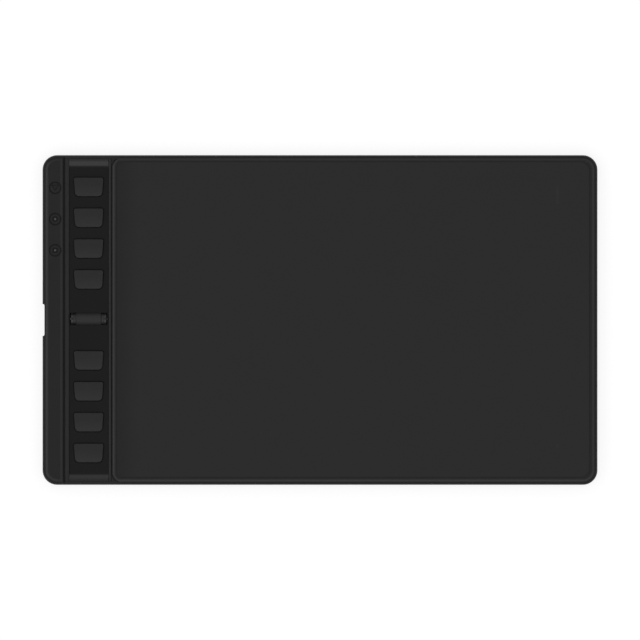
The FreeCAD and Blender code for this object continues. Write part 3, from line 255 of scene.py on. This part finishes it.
class Finish:
    """The nodes of one procedural material, or of the studio's light."""

    def __init__(self, owner):
        owner.use_nodes = True
        self.owner = owner
        self.nodes = owner.node_tree.nodes
        self.links = owner.node_tree.links

    def join(self, given, socket):
        """Links a varying value to a socket, or sets the socket's own constant."""
        if isinstance(given, Value):
            self.links.new(given.socket, socket)
        else:
            socket.default_value = given

    def node(self, kind, settings, inputs, output=0):
        """Adds a node: its settings first, then its sockets. Gives one output, or several by name."""
        made = self.nodes.new(kind)
        for setting, choice in settings.items():
            setattr(made, setting, choice)
        for socket, given in inputs.items():
            self.join(given, made.inputs[socket])
        if isinstance(output, tuple):
            return [Value(self, made.outputs[name]) for name in output]
        return Value(self, made.outputs[output])

    def calculate(self, operation, *values):
        """One operation of a Math node."""
        return self.node("ShaderNodeMath", {"operation": operation}, dict(enumerate(values)))

    def place(self):
        """Object coordinates, in metres in the tablet's own frame."""
        return self.node("ShaderNodeTexCoord", {}, {}, "Object")

    def stretched(self, scale):
        """Object coordinates scaled along each axis, for marks that run one way."""
        return self.node("ShaderNodeMapping", {}, {"Vector": self.place(), "Scale": scale})

    def split(self, vector):
        """The X, Y and Z of a vector."""
        return self.node("ShaderNodeSeparateXYZ", {}, {0: vector}, ("X", "Y", "Z"))

    def smooth(self, value, low, high, first=0.0, last=1.0):
        """A smooth step of a value from one number to another."""
        return self.node("ShaderNodeMapRange", {"interpolation_type": "SMOOTHSTEP"},
                         {0: value, 1: low, 2: high, 3: first, 4: last})

    def speckle(self, size, detail=2.0, place=None):
        """Smooth noise from 0 to 1 with features of about a size."""
        return self.node("ShaderNodeTexNoise", {},
                         {"Vector": place or self.place(), "Scale": 1.0 / size, "Detail": detail})

    def cells(self, size):
        """The distance to the middle of irregular cells of about a size."""
        return self.node("ShaderNodeTexVoronoi", {}, {"Vector": self.place(), "Scale": 1.0 / size})

    def blend(self, factor, first, second):
        """A colour between two, by a factor."""
        return self.node("ShaderNodeMix", {"data_type": "RGBA"}, {0: factor, 6: first, 7: second}, 2)

    def bump(self, height, strength, distance):
        """A normal that follows a height."""
        return self.node("ShaderNodeBump", {}, {"Strength": strength, "Distance": distance, "Height": height})

    def surface(self, given):
        """Sets or links the shader's own sockets, and gives back the material."""
        shader = self.nodes["Principled BSDF"]
        for name, what in given.items():
            self.join(what, shader.inputs[name])
        return self.owner


def colour(red, green, blue):
    """An opaque colour."""
    return (red, green, blue, 1.0)


def grey(level):
    """An opaque grey."""
    return colour(level, level, level)


def new_finish(name):
    """An empty procedural material."""
    return Finish(bpy.data.materials.new(name))


def slot_of(material):
    """A material's slot: its name, without the number that Blender adds to a name in use."""
    return material.name.split(".")[0]


def middle_of(node):
    """The middle of a sub-part's box."""
    low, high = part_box(node)
    return (low + high) / 2


def eroded(finish, level, roughness, specular, grain, depth):
    """What the shader takes for plastic from a spark-eroded mould, with faint clouds and a fine grain."""
    cloud = finish.speckle(CLOUD_SIZE, 3.0)
    fine = finish.speckle(grain)
    return {
        "Base Color": finish.blend(cloud, grey(level * (1 - CLOUD_SHARE)), grey(level * (1 + CLOUD_SHARE))),
        "Roughness": fine.varied(GRAIN_ROUGHNESS) + cloud.varied(CLOUD_ROUGHNESS) + roughness,
        "Specular IOR Level": specular,
        "Normal": finish.bump(fine, GRAIN_STRENGTH, depth),
    }


def moulded(name, **look):
    """Moulded plastic or rubber of one grey."""
    finish = new_finish(name)
    return finish.surface(eroded(finish, **look))


def case_skin():
    """The housing's matt skin, with painted shade darkening the rings and symbols sunk in the left rail."""
    finish = new_finish("case_plastic")
    x, _, z = finish.split(finish.place())
    skin = eroded(finish, CASE_LEVEL, CASE_ROUGHNESS, specular=0.30, grain=CASE_GRAIN,
                  depth=0.014 * MILLIMETRE)
    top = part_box("top_housing")[1].z
    sunk = finish.smooth(z, top - SUNK_SHADE_DEPTH[1], top - SUNK_SHADE_DEPTH[0], 1.0, 0.0)
    shallow = finish.smooth(z, top - SUNK_SHADE_END[1], top - SUNK_SHADE_END[0])
    beside = finish.smooth(x.distance(middle_of("indicator_leds").x), *SUNK_SHADE_REACH, 1.0, 0.0)
    # Painted shade: the skin is darkened in the sunk rings and symbols, where shade falls in them
    painted_shade = grey(CASE_LEVEL * SUNK_SHADE_SHARE)
    skin["Base Color"] = finish.blend(sunk * shallow * beside, skin["Base Color"], painted_shade)
    return finish.surface(skin)


def tray_skin():
    """The key tray: a glossy channel between matt rims that match the housing."""
    finish = new_finish("tray_plastic")
    _, _, z = finish.split(finish.place())
    cloud = finish.speckle(CLOUD_SIZE, 3.0)
    fine = finish.speckle(CASE_GRAIN)
    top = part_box("key_tray")[1].z
    rim = finish.smooth(z, top - RIM_DEPTH[1], top - RIM_DEPTH[0])
    return finish.surface({
        "Base Color": finish.blend(rim, grey(CHANNEL_LEVEL), grey(CASE_LEVEL)),
        "Roughness": rim.between(CHANNEL_ROUGHNESS, CASE_ROUGHNESS) + cloud.varied(0.04),
        "Specular IOR Level": 0.38,
        "Normal": finish.bump(fine, 0.30, 0.005 * MILLIMETRE),
    })


def drawing_film():
    """The sheet's matt film, with painted shade beside the keys, and two faint marks at the right."""
    finish = new_finish("drawing_film")
    x, y, _ = finish.split(finish.place())
    cloud = finish.speckle(14 * MILLIMETRE, 3.0)
    tooth = finish.speckle(0.16 * MILLIMETRE, 1.0)
    marks = 0.0
    for middle, half_width, half_length in (FAR_MARK, NEAR_MARK):
        blur = half_width / 2
        beside = finish.smooth(x.distance(MARK_X), half_width, half_width + blur, 1.0, 0.0)
        along = finish.smooth(y.distance(middle), half_length, half_length + blur, 1.0, 0.0)
        marks = beside * along + marks
    # Painted shade: the film is darker beside the keys
    film = finish.blend(finish.smooth(x, *FILM_SHADE_FADE), grey(FILM_SHADED_LEVEL), grey(FILM_LEVEL))
    film = finish.blend(cloud * 0.3, film, grey(FILM_CLOUD_LEVEL))
    return finish.surface({
        "Base Color": finish.blend(marks * 0.6, film, grey(FILM_MARK_LEVEL)),
        "Roughness": tooth.varied(0.08) + cloud.varied(0.04) + FILM_ROUGHNESS,
        "Specular IOR Level": 0.28,
        "Normal": finish.bump(tooth, 0.30, 0.006 * MILLIMETRE),
    })


def ground_rim():
    """The roller's core: polished rims with faint turning marks and a painted highlight in their lighter
    grey, and duller necks between them.
    """
    finish = new_finish("roller_rim")
    x, y, z = finish.split(finish.place())
    turning = x.waves(0.25 * MILLIMETRE)
    axis = middle_of("roller_core")
    across = y - axis.y
    up = z - axis.z
    rim = finish.smooth(across * across + up * up, RIM_FROM[0] ** 2, RIM_FROM[1] ** 2)
    return finish.surface({
        # Painted highlight: the rims are a lighter grey than the necks
        "Base Color": finish.blend(rim, grey(NECK_LEVEL), grey(RIM_HIGHLIGHT_LEVEL)),
        "Roughness": rim.between(NECK_ROUGHNESS, RIM_ROUGHNESS) + turning * 0.02,
        "Specular IOR Level": 0.42,
        "Normal": finish.bump(turning, 0.15, 0.002 * MILLIMETRE),
    })


def brushed(name, shade, roughness, stretch):
    """Bare metal with fine marks that run one way."""
    finish = new_finish(name)
    marks = finish.speckle(0.4 * MILLIMETRE, 3.0, finish.stretched(stretch))
    spots = finish.speckle(3 * MILLIMETRE)
    darker = [part * 0.88 for part in shade]
    return finish.surface({
        "Base Color": finish.blend(spots, colour(*darker), colour(*shade)),
        "Roughness": marks.varied(0.16) + roughness,
        "Metallic": 1.0,
        "Normal": finish.bump(marks, 0.25, 0.005 * MILLIMETRE),
    })


def solder_mask():
    """The boards' dark solder mask over traces, with a grid of small plated holes."""
    finish = new_finish("board")
    x, y, _ = finish.split(finish.place())
    pitch = 1.1 * MILLIMETRE
    region = finish.smooth(finish.speckle(12 * MILLIMETRE, 1.0), 0.48, 0.50)
    traces = finish.smooth(x.waves(pitch) * region + y.waves(pitch) * (1.0 - region), 0.2, 0.45)
    holes = finish.smooth(finish.cells(6 * MILLIMETRE), 0.055, 0.075, 1.0, 0.0)
    mask = finish.blend(traces, colour(0.006, 0.032, 0.018), colour(0.010, 0.060, 0.030))
    return finish.surface({
        "Base Color": finish.blend(holes, mask, colour(0.55, 0.36, 0.12)),
        "Metallic": holes,
        "Roughness": traces * 0.05 + holes * -0.1 + 0.34,
        "Normal": finish.bump(traces, 0.3, 0.02 * MILLIMETRE),
    })


def open_foam():
    """The grey foam between the sensing board and its shield."""
    finish = new_finish("foam")
    pores = finish.cells(0.5 * MILLIMETRE)
    return finish.surface({
        "Base Color": finish.blend(pores, grey(0.010), grey(0.045)),
        "Roughness": 0.92,
        "Specular IOR Level": 0.2,
        "Normal": finish.bump(pores, 0.6, 0.1 * MILLIMETRE),
    })


def ribbon_film():
    """The ribbon's white film over flat copper strands."""
    finish = new_finish("ribbon_film")
    _, y, _ = finish.split(finish.place())
    strands = finish.smooth(y.waves(1.0 * MILLIMETRE), -0.2, 0.2)
    return finish.surface({
        "Base Color": finish.blend(strands, colour(0.52, 0.53, 0.52), colour(0.66, 0.60, 0.50)),
        "Roughness": strands.between(0.42, 0.36),
        "Normal": finish.bump(strands, 0.3, 0.02 * MILLIMETRE),
    })


def light_guide():
    """Milky light guides: a painted highlight in the light grey of the two nearer ones, and painted shade on
    the far one.
    """
    finish = new_finish("lens")
    _, y, _ = finish.split(finish.place())
    # Painted shade on the far light guide, and a painted highlight on the other two
    far_lens = finish.smooth(y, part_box("indicator_lens_2")[1].y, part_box("indicator_lens_1")[0].y)
    haze = finish.speckle(0.5 * MILLIMETRE)
    highlighted = finish.blend(haze, grey(0.056), grey(0.070))
    return finish.surface({
        "Base Color": finish.blend(far_lens, highlighted, grey(0.010)),
        "Roughness": haze.between(0.30, 0.36),
        "Specular IOR Level": 0.3,
    })


def lamp_body():
    """Small white lamps with a yellow phosphor window on top."""
    finish = new_finish("lamp")
    x, _, _ = finish.split(finish.place())
    middle = middle_of("indicator_leds").x
    window = finish.smooth(x.distance(middle), 0.35 * MILLIMETRE, 0.45 * MILLIMETRE, 1.0, 0.0)
    return finish.surface({
        "Base Color": finish.blend(window, grey(0.68), colour(0.72, 0.60, 0.12)),
        "Roughness": window.between(0.5, 0.3),
    })


def foot_rubber():
    """Soft rubber with fine ribs across each foot."""
    finish = new_finish("foot_rubber")
    x, _, _ = finish.split(finish.place())
    ribs = x.waves(0.9 * MILLIMETRE)
    fine = finish.speckle(0.3 * MILLIMETRE)
    return finish.surface({
        "Base Color": finish.blend(fine, grey(0.012), grey(0.018)),
        "Roughness": fine.between(0.72, 0.82),
        "Specular IOR Level": 0.25,
        "Normal": finish.bump(ribs * 0.5 + fine * 0.3, 0.4, 0.04 * MILLIMETRE),
    })


FINISHES = {slot_of(material): material for material in (
    case_skin(),
    drawing_film(),
    tray_skin(),
    ground_rim(),
    open_foam(),
    solder_mask(),
    ribbon_film(),
    light_guide(),
    lamp_body(),
    foot_rubber(),
    moulded("cover_plastic", level=0.0160, roughness=0.56, specular=0.30,
            grain=0.45 * MILLIMETRE, depth=0.030 * MILLIMETRE),
    moulded("key_plastic", level=0.0160, roughness=0.42, specular=0.24,
            grain=0.25 * MILLIMETRE, depth=0.010 * MILLIMETRE),
    moulded("roller_rubber", level=0.0200, roughness=0.62, specular=0.25,
            grain=0.25 * MILLIMETRE, depth=0.015 * MILLIMETRE),
    moulded("chip", level=0.0100, roughness=0.55, specular=0.40,
            grain=0.12 * MILLIMETRE, depth=0.008 * MILLIMETRE),
    moulded("connector_plastic", level=0.5200, roughness=0.45, specular=0.50,
            grain=0.20 * MILLIMETRE, depth=0.004 * MILLIMETRE),
    moulded("stem_plastic", level=0.0300, roughness=0.40, specular=0.50,
            grain=0.15 * MILLIMETRE, depth=0.004 * MILLIMETRE),
    moulded("port_plastic", level=0.0080, roughness=0.38, specular=0.50,
            grain=0.15 * MILLIMETRE, depth=0.003 * MILLIMETRE),
    brushed("steel", shade=(0.30, 0.30, 0.31), roughness=0.34, stretch=(1, 1, 6)),
    brushed("shield_metal", shade=(0.62, 0.63, 0.64), roughness=0.38, stretch=(0.08, 1, 1)),
    brushed("switch_metal", shade=(0.66, 0.64, 0.58), roughness=0.30, stretch=(1, 0.2, 1)),
    brushed("port_steel", shade=(0.58, 0.58, 0.57), roughness=0.26, stretch=(1, 0.15, 1)),
)}
CONTACT_GOLD = brushed("contact_gold", shade=(0.80, 0.58, 0.24), roughness=0.22, stretch=(0.2, 1, 1))

slots = {name: slot_of(node.data.materials[0]) for name, node in frame["nodes"].items()}
for name, node in frame["nodes"].items():
    node.data.materials.clear()
    node.data.materials.append(FINISHES[slots[name]])


def only(piece):
    """Selects one piece alone and makes it the active one."""
    bpy.ops.object.select_all(action="DESELECT")
    piece.select_set(True)
    bpy.context.view_layer.objects.active = piece


def edit(piece):
    """Opens one piece in edit mode with all of it selected."""
    only(piece)
    bpy.ops.object.mode_set(mode="EDIT")
    bpy.ops.mesh.select_mode(type="FACE")
    bpy.ops.mesh.select_all(action="SELECT")


def close_edit():
    """Leaves edit mode."""
    bpy.ops.object.mode_set(mode="OBJECT")


def pick(piece, kind, chosen):
    """In edit mode, selects the faces, edges or verts that a test picks."""
    bpy.ops.mesh.select_mode(type={"faces": "FACE", "edges": "EDGE", "verts": "VERT"}[kind])
    bpy.ops.mesh.select_all(action="DESELECT")
    shape = bmesh.from_edit_mesh(piece.data)
    for item in getattr(shape, kind):
        item.select_set(bool(chosen(item)))
    shape.select_flush_mode()
    bmesh.update_edit_mesh(piece.data)


def near(value, goal):
    """Whether a length or a level is the one that is looked for."""
    return abs(value - goal) < NEAR


def at_level(low, high):
    """A test for edges that lie between two heights."""
    return lambda side: all(low < corner.co.z < high for corner in side.verts)


def shift(piece, kind, chosen, step):
    """Moves the faces or verts that a test picks."""
    edit(piece)
    pick(piece, kind, chosen)
    bpy.ops.transform.translate(value=step)
    close_edit()


def scale(piece, kind, chosen, sizes, centre):
    """Scales the faces or verts that a test picks about a centre."""
    edit(piece)
    pick(piece, kind, chosen)
    bpy.ops.transform.resize(value=sizes, center_override=centre)
    close_edit()


def settle(piece, name):
    """Puts the piece's place, turn and scale into its mesh, and names it."""
    only(piece)
    bpy.ops.object.transform_apply(location=True, rotation=True, scale=True)
    piece.name = name
    return piece


def apply(piece, modifier):
    """Applies a modifier of the piece."""
    only(piece)
    bpy.ops.object.modifier_apply(modifier=modifier.name)


def combine(piece, other, operation):
    """Joins one piece with another or cuts it with the other, which is used up."""
    boolean = piece.modifiers.new("boolean", "BOOLEAN")
    boolean.operation = operation
    boolean.object = other
    apply(piece, boolean)
    bpy.data.objects.remove(other)


def shade(piece, angle=SHARP_ANGLE):
    """Smooth shading that keeps edges sharper than an angle."""
    only(piece)
    bpy.ops.object.shade_smooth_by_angle(angle=math.radians(angle))


def copied(piece, name, place=(0, 0, 0), turn=0.0):
    """A copy of a piece with its own mesh, turned about Z and moved to a place."""
    twin = bpy.data.objects.new(name, piece.data.copy())
    bpy.context.scene.collection.objects.link(twin)
    twin.rotation_euler = (0, 0, turn)
    twin.location = place
    return settle(twin, name)


def joined(pieces, name):
    """Several pieces as one object."""
    only(pieces[0])
    for piece in pieces:
        piece.select_set(True)
    bpy.ops.object.join()
    return settle(pieces[0], name)


def dress(piece, slot, body, *nodes):
    """Gives a finished piece its material, its body and the sub-parts that it stands for."""
    piece.data.materials.clear()
    piece.data.materials.append(FINISHES[slot])
    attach(piece, body)
    if nodes:
        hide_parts(*nodes)
    return piece


def merged(name):
    """A copy of a sub-part's mesh with its doubles merged and its flat faces made whole."""
    piece = copied(frame["nodes"][name], name + "_soft")
    edit(piece)
    bpy.ops.mesh.customdata_custom_splitnormals_clear()
    bpy.ops.mesh.remove_doubles(threshold=DOUBLES)
    bpy.ops.mesh.dissolve_limited(angle_limit=math.radians(FLAT_ANGLE))
    close_edit()
    return piece


def softened(name, width=0.0, segments=3, shaped=None):
    """A sub-part's own form, shaped finer where asked, with its sharp edges rounded by a width."""
    piece = merged(name)
    if shaped:
        shaped(piece)
    if width:
        edge = piece.modifiers.new("edge", "BEVEL")
        edge.width = width
        edge.segments = segments
        edge.limit_method = "ANGLE"
        edge.angle_limit = math.radians(ROUNDED_ANGLE)
        apply(piece, edge)
    shade(piece)
    even = piece.modifiers.new("even", "WEIGHTED_NORMAL")
    even.keep_sharp = True
    apply(piece, even)
    return dress(piece, slots[name], body_of(frame["nodes"][name])[0], name)


def islands(name):
    """The middle in plan and the length along X of each separate solid of a sub-part."""
    probe = copied(frame["nodes"][name], "probe")
    edit(probe)
    bpy.ops.mesh.remove_doubles(threshold=DOUBLES)
    bpy.ops.mesh.separate(type="LOOSE")
    close_edit()
    found = []
    for solid in list(bpy.context.selected_objects):
        xs = [vertex.co.x for vertex in solid.data.vertices]
        ys = [vertex.co.y for vertex in solid.data.vertices]
        found.append(((min(xs) + max(xs)) / 2, (min(ys) + max(ys)) / 2, max(xs) - min(xs)))
        bpy.data.objects.remove(solid)
    return found


def longer_flanges(tray):
    """Draws the tray's side flanges out to its ends, so that they close the whole groove from below."""
    low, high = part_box("key_tray")
    end = max(corner.co.y for corner in tray.data.vertices if near(corner.co.x, low.x))
    for sign in (1, -1):
        shift(tray, "faces",
              lambda face: face.normal.y * sign > FACING and near(face.calc_center_median().y * sign, end),
              (0, sign * (high.y - end), 0))


def closer_slot(tray):
    """Leans the long walls of the roller's slot in at the top, so that they follow the roller."""
    low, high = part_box("roller_core")
    axis = middle_of("roller_core")
    reach = high.z - axis.z + SLOT_GAP
    closer = reach - math.sqrt(reach ** 2 - (CHANNEL_TOP - axis.z) ** 2)
    for sign in (1, -1):
        shift(tray, "verts",
              lambda corner: low.x - MILLIMETRE < corner.co.x < high.x + MILLIMETRE
              and near(corner.co.z, CHANNEL_TOP) and near((corner.co.y - axis.y) * sign, reach),
              (0, -sign * closer, 0))


def nearer_rim(tray):
    """Moves the tray's right rim towards the keys."""
    shift(tray, "verts", lambda corner: RIGHT_RIM[0] < corner.co.x < RIGHT_RIM[1], (-SEAM_SHIFT, 0, 0))


def finer_tray(tray):
    """The tray's flanges, right rim and slot for the roller, finer than in the sub-part."""
    longer_flanges(tray)
    closer_slot(tray)
    nearer_rim(tray)


def wider_shoulder(housing):
    """Draws the foot of the plate's shoulder out towards the keys."""
    foot, top = SHOULDER
    wider = (top - PLATE_LEFT) / (top - foot)
    scale(housing, "verts", lambda corner: foot - NEAR < corner.co.x < top, (wider, 1.0, 1.0), (top, 0, 0))


def rounder_corners(housing):
    """Rounds the drawing plate's two left corners in plan, with a soft shoulder round them."""
    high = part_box("top_housing")[1]
    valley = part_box("key_tray")[1].z
    rise = high.z - valley
    reach = PLATE_CORNER + PLATE_INSET + MILLIMETRE
    shoulder = math.sqrt(PLATE_ROUND ** 2 - (PLATE_ROUND - rise) ** 2)
    middle_x = PLATE_LEFT + PLATE_CORNER
    for sign in (1, -1):
        middle_y = sign * (high.y - PLATE_INSET - PLATE_CORNER)
        bpy.ops.mesh.primitive_cylinder_add(
            vertices=96, radius=PLATE_CORNER + PLATE_ROUND - shoulder, depth=3 * rise,
            location=(middle_x, middle_y, valley - rise / 2 + CLEAR))
        dome = settle(bpy.context.object, "dome")
        edit(dome)
        pick(dome, "edges", at_level(high.z - rise / 2, math.inf))
        bpy.ops.mesh.bevel(offset=PLATE_ROUND, segments=16)
        close_edit()
        bpy.ops.mesh.primitive_cube_add(
            size=1.0, scale=(reach, reach, 2 * rise),
            location=(middle_x - reach / 2, middle_y + sign * reach / 2, high.z))
        block = settle(bpy.context.object, "block")
        combine(block, dome, "DIFFERENCE")
        combine(housing, block, "DIFFERENCE")


def finer_housing(housing):
    """The plate's left shoulder and corners, finer than in the sub-part."""
    wider_shoulder(housing)
    rounder_corners(housing)


def fuller_necks(core):
    """Fills the roller's necks out to just under its barrel."""
    axis = middle_of("roller_core")
    grown = FULL_NECK / CORE_NECK
    scale(core, "verts",
          lambda corner: near(math.hypot(corner.co.y - axis.y, corner.co.z - axis.z), CORE_NECK),
          (1.0, grown, grown), axis)


def cross_cutter(head_radius, head_height):
    """The cross-shaped punch that a screw's recess takes its form from, narrower at its foot."""
    length = head_radius * 1.2
    width = head_radius * 0.26
    foot = head_height * 0.35
    top = head_height * 1.3
    blades = []
    for turn in (0.0, math.pi / 2):
        bpy.ops.mesh.primitive_cube_add(
            size=1.0, scale=(length, width, top - foot),
            location=(0, 0, (foot + top) / 2), rotation=(0, 0, turn))
        blade = settle(bpy.context.object, "blade")
        scale(blade, "faces", lambda face: face.normal.z < -FACING, (0.5, 0.5, 1.0), (0, 0, foot))
        blades.append(blade)
    combine(*blades, "UNION")
    return blades[0]


def thread(radius, length, pitch):
    """A threaded shank below the origin: a notched profile turned up a helix, with its ends closed."""
    depth = pitch / 2
    bpy.ops.mesh.primitive_circle_add(vertices=4, radius=depth, rotation=(math.pi / 2, 0, 0),
                                      location=(radius - depth, 0, depth - length))
    shank = settle(bpy.context.object, "shank")
    edit(shank)
    pick(shank, "verts", lambda corner: corner.co.x < radius - depth * 1.5)
    bpy.ops.mesh.delete(type="VERT")
    close_edit()
    helix = shank.modifiers.new("helix", "SCREW")
    helix.angle = 2 * math.pi
    helix.screw_offset = pitch
    helix.iterations = int(length / pitch)
    helix.steps = THREAD_STEPS
    helix.render_steps = THREAD_STEPS
    apply(shank, helix)
    edit(shank)
    bpy.ops.mesh.remove_doubles(threshold=DOUBLES)
    bpy.ops.mesh.fill_holes(sides=0)
    bpy.ops.mesh.select_all(action="SELECT")
    bpy.ops.mesh.normals_make_consistent(inside=False)
    close_edit()
    return shank


def screw(head_radius, head_height, radius, length, pitch):
    """A pan-head screw that stands on the origin with its shank below."""
    middle = head_height / 2
    crown = head_height * 0.4
    chamfer = head_height * 0.06
    bpy.ops.mesh.primitive_cylinder_add(vertices=40, radius=head_radius, depth=head_height,
                                        location=(0, 0, middle))
    head = settle(bpy.context.object, "head")
    edit(head)
    pick(head, "edges", at_level(middle, math.inf))
    bpy.ops.mesh.bevel(offset=crown, segments=5)
    pick(head, "edges", at_level(-math.inf, chamfer))
    bpy.ops.mesh.bevel(offset=chamfer, segments=1)
    close_edit()
    combine(head, cross_cutter(head_radius, head_height), "DIFFERENCE")
    return joined([head, thread(radius, length, pitch)], "screw")


def make_screws(node, name, sizes, upwards):
    """One set of equal screws, in place of a sub-part's plain ones; upwards where the heads are on top."""
    low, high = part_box(node)
    seat = high.z - sizes["head_height"] if upwards else low.z + sizes["head_height"]
    pattern = screw(**sizes)
    if not upwards:
        pattern.rotation_euler = (math.pi, 0, 0)
        settle(pattern, "screw")
    shade(pattern, SCREW_ANGLE)
    screws = [copied(pattern, f"{name}_{number}", (x, y, seat))
              for number, (x, y, _) in enumerate(islands(node))]
    bpy.data.objects.remove(pattern)
    dress(joined(screws, name), "steel", "case", node)


def small_block(size, edge):
    """A small block round the origin with rounded edges, as a pattern for contacts and legs."""
    bpy.ops.mesh.primitive_cube_add(size=1.0, scale=size)
    block = settle(bpy.context.object, "block")
    edit(block)
    bpy.ops.mesh.bevel(offset=edge, segments=2)
    close_edit()
    shade(block)
    return block


def make_tongue_contacts():
    """The gilt contacts on both sides of the socket's tongue."""
    low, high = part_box("usb_tongue")
    middle_x = low.x + CONTACT_START + CONTACT_SIZE[0] / 2
    middle_y = (low.y + high.y) / 2
    pattern = small_block(CONTACT_SIZE, CONTACT_EDGE)
    contacts = []
    for level in (low.z, high.z):
        for number in range(CONTACT_COUNT):
            across = (number - (CONTACT_COUNT - 1) / 2) * CONTACT_PITCH
            contacts.append(copied(pattern, "contact", (middle_x, middle_y + across, level)))
    bpy.data.objects.remove(pattern)
    contacts = dress(joined(contacts, "tongue_contacts"), "port_steel", "case")
    contacts.data.materials[0] = CONTACT_GOLD


def make_chip_legs():
    """The bent legs of the three chips on the main board."""
    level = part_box("controller_chips")[0].z + LEG_SIZE[2] / 2
    pattern = small_block(LEG_SIZE, LEG_EDGE)
    edit(pattern)
    pick(pattern, "faces", lambda face: face.normal.x < -FACING)
    for bend in LEG_BENDS:
        bpy.ops.mesh.extrude_region_move(TRANSFORM_OT_translate={"value": bend})
    close_edit()
    legs = []
    for x, y, side in islands("controller_chips"):
        on_side = int(side / LEG_PITCH) - 1
        out = side / 2 + LEG_SIZE[0] / 2 + LEG_GAP
        for turn in (0, math.pi / 2, math.pi, math.pi * 3 / 2):
            for number in range(on_side):
                along = (number - (on_side - 1) / 2) * LEG_PITCH
                place = (x + math.cos(turn) * out - math.sin(turn) * along,
                         y + math.sin(turn) * out + math.cos(turn) * along, level)
                legs.append(copied(pattern, "leg", place, turn))
    bpy.data.objects.remove(pattern)
    dress(joined(legs, "chip_legs"), "switch_metal", "case")


def make_floor():
    """A plain white floor that keeps a soft shadow."""
    bpy.ops.mesh.primitive_plane_add(size=FLOOR_SIZE)
    floor = bpy.context.object
    floor.name = "floor"
    finish = new_finish("floor_white")
    finish.nodes.remove(finish.nodes["Principled BSDF"])
    paper = finish.node("ShaderNodeBsdfDiffuse", {}, {"Color": grey(FLOOR_SHADE)})
    camera, glossy, transmission = finish.node(
        "ShaderNodeLightPath", {}, {}, ("Is Camera Ray", "Is Glossy Ray", "Is Transmission Ray"))
    seen = camera + (glossy + transmission) * FLOOR_MIRRORED
    glow = finish.node("ShaderNodeEmission", {}, {"Strength": seen * FLOOR_GLOW})
    both = finish.node("ShaderNodeAddShader", {}, {0: paper, 1: glow})
    finish.join(both, finish.nodes["Material Output"].inputs["Surface"])
    floor.data.materials.append(finish.owner)


def make_camera():
    """Looks straight down, at the photograph's scale."""
    lens = bpy.data.cameras.new("camera")
    lens.lens = CAMERA_LENS
    lens.sensor_width = CAMERA_SENSOR
    lens.clip_end = CAMERA_REACH
    camera = bpy.data.objects.new("camera", lens)
    span = PHOTO_PIXELS * METRES_PER_PIXEL
    camera.location = (0, 0, span * CAMERA_LENS / CAMERA_SENSOR + SILHOUETTE_HEIGHT)
    bpy.context.scene.collection.objects.link(camera)
    bpy.context.scene.camera = camera


def make_light():
    """A soft tent: dim straight above, a bright ring at half height, darker near the horizon."""
    world = bpy.data.worlds.new("studio")
    sky = Finish(world)
    x, y, z = sky.split(sky.node("ShaderNodeTexCoord", {}, {}, "Generated"))
    lean_x, lean_y = (math.sin(math.radians(lean)) for lean in LIGHT_LEAN)
    upright = x * lean_x + y * lean_y + z * math.sqrt(1 - lean_x ** 2 - lean_y ** 2)
    angle = sky.calculate("ARCCOSINE", upright) * (180 / math.pi)
    strength = LIGHT_STEPS[0][1]
    for (low, level), (high, following) in zip(LIGHT_STEPS, LIGHT_STEPS[1:]):
        strength = sky.smooth(angle, low, high, 0.0, following - level) + strength
    panel = sky.smooth(x * -1.0, *LEFT_PANEL) * sky.smooth(angle, *LEFT_FADE, 1.0, 0.0)
    strength = strength * (y * LIGHT_FAR + 1.0) + panel * LEFT_EXTRA
    above = sky.smooth(z, -LIGHT_HORIZON, LIGHT_HORIZON)
    seen = sky.node("ShaderNodeLightPath", {}, {}, "Is Camera Ray")
    background = sky.nodes["Background"]
    sky.join(grey(1.0), background.inputs["Color"])
    sky.join(strength * above * (1.0 - seen) + seen, background.inputs["Strength"])
    bpy.context.scene.world = world


for number in range(1, KEY_COUNT + 1):
    softened(f"key_cap_{number}", KEY_EDGE)
for corner in ("front_left", "front_right", "rear_left", "rear_right"):
    softened(f"foot_{corner}", FOOT_EDGE, segments=4)
for number in range(1, LENS_COUNT + 1):
    softened(f"indicator_lens_{number}", LENS_EDGE)
softened("mode_button", BUTTON_EDGE)
softened("roller_core", CORE_EDGE, shaped=fuller_necks)
softened("roller_tyre", TYRE_EDGE)
softened("usb_shell", SHELL_EDGE)
softened("usb_tongue", TONGUE_EDGE)
softened("key_tray", shaped=finer_tray)
softened("top_housing", shaped=finer_housing)
make_screws("case_screws", "case_screw_set", CASE_SCREW, upwards=False)
make_screws("board_screws", "board_screw_set", BOARD_SCREW, upwards=True)
make_tongue_contacts()
make_chip_legs()

make_floor()
make_camera()
make_light()
bpy.context.scene.view_settings.view_transform = "Standard"
